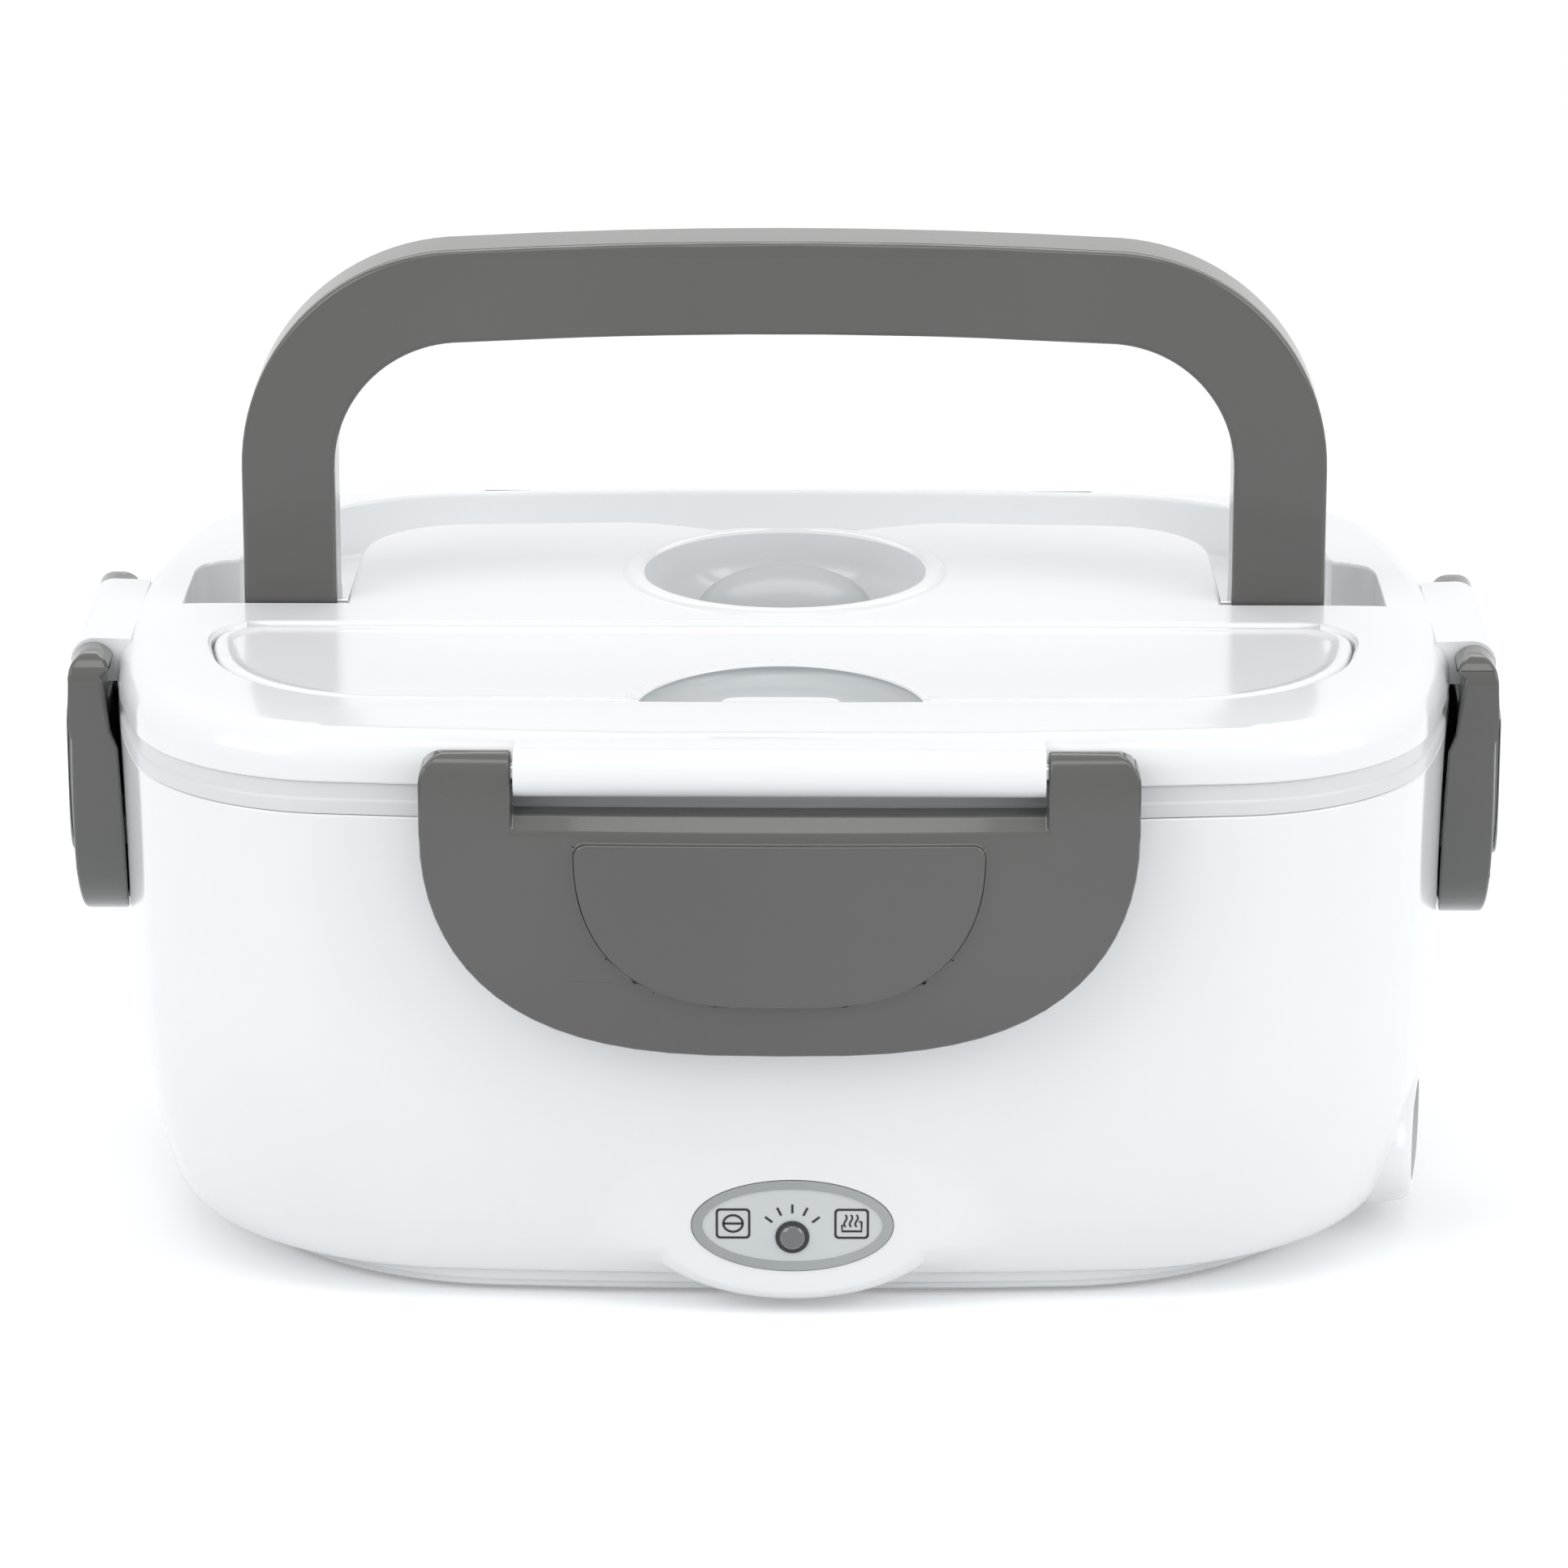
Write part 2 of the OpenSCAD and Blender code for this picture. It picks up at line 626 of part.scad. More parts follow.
module lamp_board() {
    color([0.15, 0.4, 0.25]) at_lamp() {
        translate([-10, board_y, -6.4]) cube([20, 1.4, 11]);
        translate([0, board_y + 0.2, -lens_drop]) rotate([90, 0, 0]) cylinder(h = board_y - 3, r = 1.8);
        translate([4, board_y - 1.4, 2]) cube([2, 1.6, 2]);
    }
}

module lamp_wires() {
    color([0.15, 0.15, 0.2]) for (y = [-3, 3])
        wire([[lamp_x + y, bulge_y + board_y + 1.45, lamp_z - 2],
              [lamp_x + y, bulge_y + board_y + 6, lamp_z - 2.4], [lamp_x + y + 10, -48, 9.5],
              [20 + y, -36, 9], [22 + y, -22, heater_z - 3], [22 + y, -16, heater_z + 2.5],
              [22 + y, -heater_deep - seat, heater_z + 2.5]], 0.5);
}

// ---------- Food container and small box ----------

cup_in = nest_in + cup_gap;

function cup_line(z, d) = rim_line(nest(z, cup_z) + cup_gap + d);

cup_rise = [1.2, 3, 6, nest_r, 24, 42];

module inner_container() {
    color(frosted) {
        skin(concat(
            [at_z(cup_line(cup_z, 0), cup_z)],
            [for (h = cup_rise) at_z(cup_line(cup_z + h, 0), cup_z + h)],
            [at_z(rim_line(cup_in), band_z), at_z(rim_line(0.1), band_z),
             at_z(rim_line(0), band_z + 0.3), at_z(rim_line(0), band_z + 2.4),
             at_z(rim_line(0.5), band_z + 2.6), at_z(rim_line(0.5), band_top - 0.4),
             at_z(rim_line(0.8), band_top), at_z(rim_line(2.3), band_top),
             at_z(rim_line(2.3), step_z), at_z(rim_line(cup_in + cup_wall), step_z)],
            [for (i = [len(cup_rise) - 1:-1:0]) let (z = cup_z + cup_rise[i] + cup_wall)
                at_z(rim_line(nest(z, cup_z + cup_wall) + cup_gap + cup_wall), z)],
            [at_z(cup_line(cup_z, cup_wall), cup_z + cup_wall)]));
        // moulded divider between the two compartments
        translate([divider_x, 0, 0]) rotate([90, 0, 90]) linear_extrude(1.8) polygon(concat(
            [for (h = divider_steps) [divider_y(cup_z + h), cup_z + h]],
            [for (i = [len(divider_steps) - 1:-1:0]) [-divider_y(cup_z + divider_steps[i]), cup_z + divider_steps[i]]]));
    }
}

dish_x = half_w - 65.5;
divider_x = dish_x - dish_w / 2 - 5;
divider_h = 36;
divider_steps = [1, 2, 4, 8, 14, 24, divider_h];
function divider_y(z) = half_d - nest(z, cup_z) - cup_gap - 1;
dish_z = cup_z + cup_wall + play;

function dish_line(d, z) =
    at_z([for (p = oblong(dish_w / 2 - d, dish_l / 2 - d, 14 - d)) p + [dish_x, 0]], z);

module dish_box() {
    top = dish_z + dish_h;
    color(frosted)
        skin([dish_line(5, dish_z), dish_line(3.4, dish_z + 1.2), dish_line(2.8, dish_z + 4),
              dish_line(1.6, top - 3), dish_line(0, top - 3), dish_line(0, top),
              dish_line(dish_t + 1.6, top), dish_line(dish_t + 2.8, dish_z + 5),
              dish_line(dish_t + 4.6, dish_z + dish_t + 0.6), dish_line(dish_t + 5.6, dish_z + dish_t)]);
}

module dish_lid() {
    top = dish_z + dish_h + play;
    color(frosted) difference() {
        union() {
            skin([dish_line(-0.6, top), dish_line(-0.6, top + 1.4), dish_line(0.6, top + 2.2)]);
            skin([dish_line(dish_t + 2.2, top - 3), dish_line(dish_t + 2.1, top + 0.4),
                  dish_line(dish_t + 3.6, top + 0.4), dish_line(dish_t + 3.6, top - 3)], closed = true);
            translate([dish_x - 5, -dish_l / 2 - 5.4, top]) cube([10, 6, 1.4]);
        }
        prism([for (p = dish_line(6, 0)) [p[0], p[1]]], top + 1.5, 4);
    }
}

// ---------- Lid ----------

function shoulder(d) = lid_top - crown - shoulder_r + sqrt(pow(shoulder_r, 2) - pow(shoulder_r - d, 2));

module lid_body(low) {
    steps = [0.15, 0.5, 1.1, 2, 3.3, shoulder_r];
    skin(concat([at_z(rim_line(-0.1), low), at_z(rim_line(0), lid_z + 3)],
        [for (d = steps) at_z(rim_line(d), shoulder(d))],
        [at_z(rim_line(12), lid_top - 0.3 * crown), at_z(rim_line(20), lid_top)]));
}

// Outline of the handle's recess, grown by d. Pockets beside the legs give the fingers room.
recess_front = 0;
recess_half = grip_half + grip_w / 2 + 2.6;
recess_rear = fold_y + 1.3;
recess_r = grip_bend + grip_w / 2 + 1.2;
pocket_x = recess_half + 7.6;
pocket_y = 25;
function recess_line(d) =
    let (q = quarter(recess_half + d, recess_rear + d, recess_r + d, 4 * side_bow_r, front_bow_r),
         right = concat([[pocket_x + d, recess_front - d], [pocket_x + d - 0.6, pocket_y - 3 + d],
                         [pocket_x + d - 2.4, pocket_y + d], [recess_half + d, pocket_y + 2 + d]],
                        [for (p = q) if (p[1] > pocket_y + 4 + d) p]))
    concat(right, [for (i = [len(right) - 2:-1:0]) [-right[i][0], right[i][1]]]);

// Plateau inside the recess, shrunk by d: it follows the inside of the folded grip
plateau_half = grip_half - grip_w / 2 - 1.6;
plateau_rear = fold_y - grip_w - 1.8;
plateau_r = grip_bend - grip_w / 2 - 3.6;
dip = 6.5;
dip_wide = 28;
dip_flat = 5;
function plateau_line(d) =
    let (q = quarter(plateau_half - d, plateau_rear - d, plateau_r - d, 4 * side_bow_r, front_bow_r),
         span = dip_wide - dip_flat,
         right = concat([[plateau_half - d, recess_front - 4]], [for (p = q) if (p[1] > 2 && p[0] > 30) p],
                        [for (x = [dip_wide:-span / 6:dip_flat - 0.1])
                            [x, plateau_rear - d - 0.6 - dip * pow(cos(90 * (x - dip_flat) / span), 2)]]))
    concat(right, [for (i = [len(right) - 1:-1:0]) [-right[i][0], right[i][1]]]);

function spow(x, n) = sign(x) * pow(abs(x), n);

// D-shaped outline of the spoon bay, set in by d: it runs beside the lid's own edge
bay_corner = 31;
bay_r = 4;
function bay_line(d) =
    let (q = quarter(bay_half - d, -bay_front - d, bay_corner - d, side_bow_r, 2.6 * front_bow_r, 12, 4),
         back = bay_rear - d, r = bay_r, a = bay_half - d - 0.7,
         side = [for (p = q) if (p[1] > r - back + 2) p], n = len(side))
    concat([for (t = [0:15:90]) [a - r + r * cos(t), back - r + r * sin(t)]],
           [for (t = [90:15:180]) [r - a + r * cos(t), back - r + r * sin(t)]],
           [for (p = side) [-p[0], -p[1]]], [for (i = [n - 2:-1:0]) [side[i][0], -side[i][1]]]);

// Bowl of the steam vent: a curve from the floor up into a straight throat
module vent_well() {
    deep = lid_top + 0.8 - bay_z;
    translate([0, vent_y, bay_z]) rotate_extrude($fn = 64)
        polygon(concat([[0, 0], [vent_r - 8, 0]],
            [for (t = [15:15:90]) [vent_r - 8 + 6.2 * sin(t), 7 * (1 - cos(t))]],
            [[vent_r, deep + 2], [0, deep + 2]]));
}

module barrel(half) {
    rotate([90, 0, 90]) translate([0, 0, -half]) linear_extrude(2 * half) {
        circle(r = barrel_r);
        polygon([[0, barrel_r], [pivot_out + skirt - 0.3, barrel_r - 0.2],
                 [pivot_out + skirt - 0.3, -barrel_r + 0.5], [0, -barrel_r + 0.5]]);
    }
}

barrel_wide = latch_wide - ear_wide - play;
barrel_narrow = latch_narrow - ear_narrow - play;

lidlet_pin = 0.9;
lidlet_r = 1.7;
lidlet_y = bay_rear - 0.5 - lidlet_r;
lidlet_z = cover_top - lidlet_r;
lidlet_end = bay_half - 1.6;
pin_in = plateau_half - 5;
pin_out = grip_half + grip_w / 2 - 1.5;

module at_grip_pins(r, more) {
    for (s = [-1, 1]) translate([s > 0 ? pin_in - more : -pin_out - more, fold_pivot_y, fold_pivot_z])
        rotate([0, 90, 0]) cylinder(h = pin_out - pin_in + 2 * more, r = r);
}

module lid_shell() {
    low = bay_z - bay_wall;
    color(white) difference() {
        union() {
            difference() {
                lid_body(low);
                // everything under the dome except the walls and floors of the recesses
                difference() {
                    skin([at_z(rim_line(-2), low - 1), at_z(rim_line(-2), lid_z), at_z(rim_line(skirt), lid_z),
                          at_z(rim_line(skirt), lid_z + 2.4), at_z(rim_line(skirt + 1.4), lid_z + 5),
                          at_z(rim_line(skirt + 5), lid_top - wall - 0.5)]);
                    difference() {
                        prism(recess_line(bay_wall), low, 20);
                        prism(plateau_line(bay_wall), low - 1, 30);
                    }
                    prism(bay_line(-bay_wall), low, 20);
                    translate([0, vent_y, low]) cylinder(h = 20, r = vent_r + bay_wall - 2);
                    for (s = [-1, 1]) translate([s * (pin_in + 2), fold_pivot_y, fold_pivot_z])
                        rotate([0, 90, 0]) cylinder(h = 8, r = grip_pin_r + 1.6, center = true);
                }
            }
            translate([0, vent_y, 0]) rotate_extrude($fn = 64)
                polygon([[vent_r - 2, lid_top - 3], [vent_r + 2.2, lid_top - 0.5], [vent_r + 1.8, lid_top + 0.3],
                         [vent_r + 0.9, lid_top + 0.8], [vent_r - 2, lid_top + 0.8]]);
            at_wide() barrel(barrel_wide);
            at_narrow() barrel(barrel_narrow);
        }
        difference() {
            prism(recess_line(0), bay_z, 30);
            prism(plateau_line(0), bay_z - 1, 32);
        }
        // spoon bay with the ledge that its cover rests on, and the catch in the finger notch
        difference() {
            union() {
                prism(bay_line(0), cover_top - lidlet_t - play, 9);
                prism(bay_line(1.4), bay_z, 30);
                translate([-lidlet_end - 0.3, lidlet_y - lidlet_r - play, lidlet_z - lidlet_r - play])
                    cube([2 * lidlet_end + 0.6, 2 * lidlet_r + play + 0.5, 9]);
            }
            prism([for (t = [0:15:180]) [9.5 * spow(cos(t), 0.4), bay_front - 1 + 4.6 * spow(sin(t), 0.4)]],
                  bay_z, lid_top - 0.5 - bay_z);
        }
        translate([0, lidlet_y, lidlet_z]) rotate([0, 90, 0])
            cylinder(h = 2 * bay_half + 3.6, r = lidlet_pin + pin_play, center = true);
        vent_well();
        translate([0, vent_y, bay_z - 9]) cylinder(h = 20, r = hole_r);
        skin([at_z(rim_line(0.9), lid_z - 1), at_z(rim_line(0.9), lid_z + 1.6), at_z(rim_line(2.7), lid_z + 1.6),
              at_z(rim_line(2.7), lid_z - 1)], closed = true);
        at_wide() rotate([0, 90, 0]) cylinder(h = 200, r = latch_pin_r + seat, center = true);
        at_narrow() rotate([0, 90, 0]) cylinder(h = 100, r = latch_pin_r + seat, center = true);
        at_grip_pins(grip_pin_r + seat, 0.3);
    }
}

module lid_liner() {
    color(white) difference() {
        skin([at_z(rim_line(cup_in + cup_wall + 1.2), liner_z), at_z(rim_line(cup_in + cup_wall + 0.8), liner_z + 0.4),
              at_z(rim_line(cup_in + cup_wall + 0.8), liner_z + liner_t)]);
        translate([0, vent_y, liner_z - 1]) cylinder(h = 4, r = hole_r);
    }
}

module lid_seal() {
    color([0.85, 0.87, 0.88])
        skin([at_z(rim_line(1.0), band_top + 0.3), at_z(rim_line(1.0), lid_z + 1.55),
              at_z(rim_line(2.6), lid_z + 1.55), at_z(rim_line(2.6), band_top + 0.3)], closed = true);
}

module vent_plug() {
    low = liner_z - 1.8;
    color([0.80, 0.82, 0.84]) translate([0, vent_y, 0]) rotate_extrude($fn = 64)
        polygon(concat([[0, low], [hole_r - 0.8, low], [hole_r - 0.3, low + 0.8], [hole_r - 0.3, bay_z + 0.3],
                        [plug_r + 2.2, bay_z + 0.3], [plug_r + 2.2, bay_z + 1.2], [plug_r + 0.8, bay_z + 2]],
            [for (t = [0:9:81]) [plug_r * cos(t), bay_z + 3 + (plug_h - 3) * sin(t)]],
            [[0, bay_z + plug_h]]));
}

// Cover of the spoon bay: rounded edges, a hinge barrel with end pins, a finger notch
module spoon_cover() {
    gap = 0.5;
    low = cover_top - lidlet_t;
    color(white) difference() {
        union() {
            difference() {
                skin([at_z(bay_line(gap + 0.3), low), at_z(bay_line(gap), low + 0.3),
                      at_z(bay_line(gap), low + 0.6), at_z(bay_line(gap + 0.3), cover_top - 0.45),
                      at_z(bay_line(gap + 0.9), cover_top - 0.15), at_z(bay_line(gap + 1.8), cover_top)]);
                translate([-body_w / 2, lidlet_y, low - 5]) cube([body_w, 50, 20]);
            }
            translate([0, lidlet_y, lidlet_z]) rotate([0, 90, 0]) {
                cylinder(h = 2 * lidlet_end, r = lidlet_r, center = true);
                cylinder(h = 2 * bay_half + 3, r = lidlet_pin, center = true);
            }
            // stiffening rib under the middle
            translate([-60, -30, low - 1.2]) cube([120, 1.4, 1.6]);
        }
        translate([0, bay_front + gap - 1, 0]) prism(
            [for (t = [0:10:180]) [notch_half * cos(t), notch_d * pow(sin(t), 1.2)]], cover_top - 6, 12);
    }
}

// Spoon lying in the bay, bowl at the left, its handle sloping down to the floor
spoon_y = -34;
module spoon() {
    w = [[-80, 2], [-79, 6], [-76, 10.5], [-71, 14.3], [-64, 16.6], [-57, 16.8], [-50, 14.6], [-44, 10.6],
         [-39, 6.8], [-34, 5], [-10, 4.4], [20, 5], [50, 6.2], [70, 7.2], [79, 6.4], [82, 3]];
    function dish(x) = 4.6 * (x < -36 ? pow(max(0, 1 - pow((x + 58) / 22, 2)), 0.8) : 0);
    function slope(x) = x < -36 ? 0 : 4.6 * (x + 36) / 118;
    color([0.95, 0.95, 0.93]) translate([0, spoon_y, bay_z + 5.25]) rotate([0, 90, 0]) skin([for (s = w)
        [for (k = [0:13]) let (t = 360 * k / 14)
            [slope(s[0]) + dish(s[0]) * pow(cos(t), 2) + 0.6 * cos(t), s[1] * sin(t), s[0]]]]);
}

// ---------- Handle ----------

bar_z = grip_top - grip_w / 2;
bend_x = grip_half - grip_bend;
bend_z = bar_z - grip_crown - grip_bend;

// Middle line of the grip in the XZ plane with the outward direction at each point
function grip_route() =
    let (right = concat([[grip_half, fold_pivot_z - 1, 0], [grip_half, bend_z - 12, 0]],
                        [for (i = [0:8]) let (t = 86 * i / 8) [bend_x + grip_bend * cos(t), bend_z + grip_bend * sin(t), t]],
                        [for (x = [0.75, 0.5, 0.25]) [bend_x * x, bar_z - grip_crown * x * x, 90 - 3.4 * x]]))
    concat(right, [[0, bar_z, 90]], [for (i = [len(right) - 1:-1:0]) [-right[i][0], right[i][1], 180 - right[i][2]]]);

// Rounded section: u outward in the plane, v front to back
function grip_section(r) =
    [for (c = [[1, 1], [-1, 1], [-1, -1], [1, -1]], k = [0:2])
        let (t = 45 * k + (c[0] > 0 ? (c[1] > 0 ? 0 : 270) : (c[1] > 0 ? 90 : 180)))
        [c[0] * (grip_w / 2 - r) + r * cos(t), c[1] * (grip_t / 2 - r) + r * sin(t)]];

module handle_grip() {
    mid = grip_front + grip_t / 2;
    color(grey) difference() {
        union() {
            skin([for (s = grip_route())
                [for (p = grip_section(2)) [s[0] + p[0] * cos(s[2]), mid + p[1], s[1] + p[0] * sin(s[2])]]]);
            for (s = [-1, 1]) translate([s * grip_half - grip_w / 2, fold_pivot_y, fold_pivot_z])
                rotate([90, 0, 90]) linear_extrude(grip_w) {
                    circle(r = eye_r);
                    translate([grip_t - 2 * eye_r, 0]) circle(r = eye_r);
                    translate([0, -eye_r]) square([grip_t - 2 * eye_r, 2 * eye_r]);
                    translate([-eye_r + 0.01, 0]) square([grip_t - 0.02, 6]);
                }
        }
        at_grip_pins(grip_pin_r + pin_play, 0.3);
    }
}

module handle_pins() {
    color(metal) at_grip_pins(grip_pin_r, 0);
}

// ---------- Latches ----------

// Front outline of a latch: round shoulders at the top, a full belly below start
function latch_line(w, top, low, r, start) =
    concat([for (t = [0:15:90]) [w - r + r * cos(t), top - r + r * sin(t)]],
           [for (t = [90:15:180]) [r - w + r * cos(t), top - r + r * sin(t)]],
           [for (t = [180:6:360]) [w * spow(cos(t), 0.67), start + (start - low) * spow(sin(t), 0.91)]]);

// Section of a latch seen from the side: x is outward, y is up, the hinge is at 0
module latch_side() {
    back = -1.9;
    circle(r = lobe_r);
    polygon([[0, lobe_r * 0.9], [back, 0], [back, -latch_drop], [latch_face - 1.9, -latch_drop],
             [latch_face - 0.3, -latch_drop + 7], [latch_face, -26], [latch_face - 0.1, -12],
             [lobe_r * 0.97, 0.6]]);
}

// A latch that hangs from a hinge along X and faces -Y, hollow behind, with its hook
module latch(w, ear) {
    gap = w - ear;
    bar_top = -barrel_r - 2.4;
    drop = catch_z - pivot_z;
    hook = 0.48 * w;
    bevel = 2.9;
    difference() {
        union() {
            difference() {
                intersection() {
                    rotate([90, 0, 0]) translate([0, 0, -20]) linear_extrude(40)
                        polygon(latch_line(w, lobe_r, -latch_drop, 4.6, -9.2));
                    rotate([90, 0, -90]) translate([0, 0, -w - 1]) linear_extrude(2 * w + 2) latch_side();
                }
                // room for the barrel, with a bevel in front of it
                translate([-gap, -20, bar_top]) cube([2 * gap, 40, 40]);
                rotate([90, 0, -90]) translate([0, 0, -gap]) linear_extrude(2 * gap)
                    polygon([[latch_face - bevel, bar_top], [latch_face - bevel, bar_top + 1],
                             [latch_face + 1, bar_top + 1], [latch_face + 1, bar_top - bevel - 1]]);
                // hollow behind the face
                rotate([90, 0, 0]) translate([0, 0, -20]) linear_extrude(20 + latch_face - 2.2)
                    polygon(latch_line(w - 2, bar_top - 2.2, -latch_drop + 2, 2.4, -11.2));
            }
            rotate([90, 0, 0]) linear_extrude(latch_face + panel_t - 0.1)
                polygon(latch_line(0.572 * w, bar_top - 4.2, -latch_drop + 9.1, 2, bar_top - 6.4));
            // hook under the catch rib
            rotate([90, 0, -90]) translate([0, 0, -hook]) linear_extrude(2 * hook)
                polygon([[-2.3, drop - 2], [-2.3, drop - 3.4], [-1, drop - 4.6], [latch_face - 1.6, drop - 5.6],
                         [latch_face - 1.6, drop - 2]]);
        }
        // the raised panel is a shell too
        rotate([90, 0, 0]) linear_extrude(latch_face - 2.4)
            polygon(latch_line(0.572 * w - 2, bar_top - 6.2, drop - 1.8, 2, drop + 8));
        rotate([0, 90, 0]) cylinder(h = 2 * w + 2, r = latch_pin_r + pin_play, center = true);
    }
}

module wide_latch(turn) {
    color(grey) rotate(turn) translate([0, -half_d - pivot_out, pivot_z]) latch(latch_wide, ear_wide);
}

module narrow_latch(turn) {
    color(grey) rotate(turn) translate([0, -half_w - pivot_out, pivot_z]) latch(latch_narrow, ear_narrow);
}

module latch_front() {
    wide_latch(0);
}

module latch_back() {
    wide_latch(180);
}

module latch_right() {
    narrow_latch(90);
}

module latch_left() {
    narrow_latch(-90);
}

module latch_pins_long() {
    color(metal) at_wide() rotate([0, 90, 0]) cylinder(h = 2 * latch_wide - 5, r = latch_pin_r, center = true);
}

module latch_pins_short() {
    color(metal) at_narrow() rotate([0, 90, 0]) cylinder(h = 2 * latch_narrow - 4, r = latch_pin_r, center = true);
}

housing_shell();
inner_tub();
base_cover();
base_screws();
feet();
heating_plate();
plate_gasket();
ptc_heater();
heater_clamp();
clamp_screws();
thermostat();
thermal_fuse();
heater_wires();
inlet_socket();
inlet_pins();
lamp_badge();
lamp_lens();
lamp_board();
lamp_wires();
inner_container();
dish_box();
dish_lid();
lid_shell();
lid_liner();
lid_seal();
vent_plug();
spoon_cover();
spoon();
handle_grip();
handle_pins();
latch_front();
latch_back();
latch_left();
latch_right();
latch_pins_long();
latch_pins_short();
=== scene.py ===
import json
import math
import bmesh
import bpy
from mathutils import Matrix, Vector

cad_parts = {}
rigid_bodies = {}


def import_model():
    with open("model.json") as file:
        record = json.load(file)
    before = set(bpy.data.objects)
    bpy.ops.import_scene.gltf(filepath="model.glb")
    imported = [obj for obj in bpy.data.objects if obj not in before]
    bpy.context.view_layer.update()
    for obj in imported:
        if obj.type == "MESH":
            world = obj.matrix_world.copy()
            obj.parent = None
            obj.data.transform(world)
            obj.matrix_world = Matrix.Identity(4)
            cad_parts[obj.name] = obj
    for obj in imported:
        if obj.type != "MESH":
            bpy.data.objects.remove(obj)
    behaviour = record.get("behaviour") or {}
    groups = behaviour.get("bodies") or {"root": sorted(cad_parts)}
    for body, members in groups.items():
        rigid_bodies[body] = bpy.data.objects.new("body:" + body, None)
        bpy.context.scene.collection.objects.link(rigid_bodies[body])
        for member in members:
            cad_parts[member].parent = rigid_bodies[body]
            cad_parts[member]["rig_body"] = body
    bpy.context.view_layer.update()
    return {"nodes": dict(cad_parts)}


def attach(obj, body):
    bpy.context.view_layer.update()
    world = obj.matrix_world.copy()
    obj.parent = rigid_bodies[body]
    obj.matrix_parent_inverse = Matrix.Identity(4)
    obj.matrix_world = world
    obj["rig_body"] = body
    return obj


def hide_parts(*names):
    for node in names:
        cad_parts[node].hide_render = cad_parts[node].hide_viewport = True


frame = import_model()
print("frame loaded:", len(frame["nodes"]), "nodes")

# Every shape is drawn in millimetres and brought to metres once, at the end
millimetre = 0.001

# ---- camera, floor and lamps ----
shot = {"target": (0, 0, 0.05), "distance": 1.23, "height": 18.13, "turn": 0.5, "lens": 165.95,
        "shiftY": 0.062}
lamps = {
    "keyLamp": {"place": (-1.05, -0.75, 0.95), "aim": (0, 0, 0.06), "size": (1.0, 0.9), "power": 6.2},
    "sideLamp": {"place": (1.15, -0.5, 0.75), "aim": (0, 0, 0.06), "size": (0.8, 0.9), "power": 5.2},
    "topLamp": {"place": (0.0, -0.45, 1.25), "aim": (0, 0, 0.08), "size": (0.9, 0.4), "power": 2.3},
    "rimLamp": {"place": (0.0, 0.95, 1.0), "aim": (0, 0, 0.08), "size": (1.2, 0.5), "power": 3.3},
}
fill = {"colour": (0.97, 0.985, 1, 1), "strength": 0.66}
ground = {"half": 3, "colour": (0.86, 0.87, 0.88, 1), "glow": 0.22, "fadeFrom": 0.35, "fadeTo": 0.9}


def makeCamera():
    turn, height = math.radians(shot["turn"]), math.radians(shot["height"])
    back = Vector((math.sin(turn) * math.cos(height), -math.cos(turn) * math.cos(height),
                   math.sin(height)))
    data = bpy.data.cameras.new("camera")
    data.lens = shot["lens"]
    data.sensor_width = 36
    data.shift_y = shot["shiftY"]
    data.clip_start = 0.05
    data.clip_end = 50
    camera = bpy.data.objects.new("camera", data)
    camera.location = Vector(shot["target"]) + back * shot["distance"]
    camera.rotation_mode = "QUATERNION"
    camera.rotation_quaternion = (-back).to_track_quat("-Z", "Y")
    bpy.context.scene.collection.objects.link(camera)
    bpy.context.scene.camera = camera


def makeLamp(name, place, aim, size, power):
    data = bpy.data.lights.new(name, "AREA")
    data.shape = "RECTANGLE"
    data.size, data.size_y = size
    data.energy = power
    lamp = bpy.data.objects.new(name, data)
    lamp.location = place
    lamp.rotation_mode = "QUATERNION"
    lamp.rotation_quaternion = (Vector(aim) - Vector(place)).to_track_quat("-Z", "Y")
    bpy.context.scene.collection.objects.link(lamp)


def whiteForRays(tree):
    # one wherever the camera, a glossy ray or a transmitted ray looks, nothing for the rest
    new, link = tree.nodes.new, tree.links.new
    path = new("ShaderNodeLightPath")
    first = new("ShaderNodeMath")
    first.operation = "MAXIMUM"
    link(path.outputs["Is Camera Ray"], first.inputs[0])
    link(path.outputs["Is Glossy Ray"], first.inputs[1])
    both = new("ShaderNodeMath")
    both.operation = "MAXIMUM"
    link(first.outputs[0], both.inputs[0])
    link(path.outputs["Is Transmission Ray"], both.inputs[1])
    return both.outputs[0]


def makeStudio():
    world = bpy.data.worlds.new("studio")
    bpy.context.scene.world = world
    world.use_nodes = True
    tree = world.node_tree
    tree.nodes.clear()
    new, link = tree.nodes.new, tree.links.new
    seen = new("ShaderNodeBackground")
    seen.inputs["Color"].default_value = (1, 1, 1, 1)
    seen.inputs["Strength"].default_value = 1.0
    soft = new("ShaderNodeBackground")
    soft.inputs["Color"].default_value = fill["colour"]
    soft.inputs["Strength"].default_value = fill["strength"]
    mix = new("ShaderNodeMixShader")
    out = new("ShaderNodeOutputWorld")
    link(whiteForRays(tree), mix.inputs[0])
    link(soft.outputs[0], mix.inputs[1])
    link(seen.outputs[0], mix.inputs[2])
    link(mix.outputs[0], out.inputs["Surface"])
    for name, values in lamps.items():
        makeLamp(name, **values)


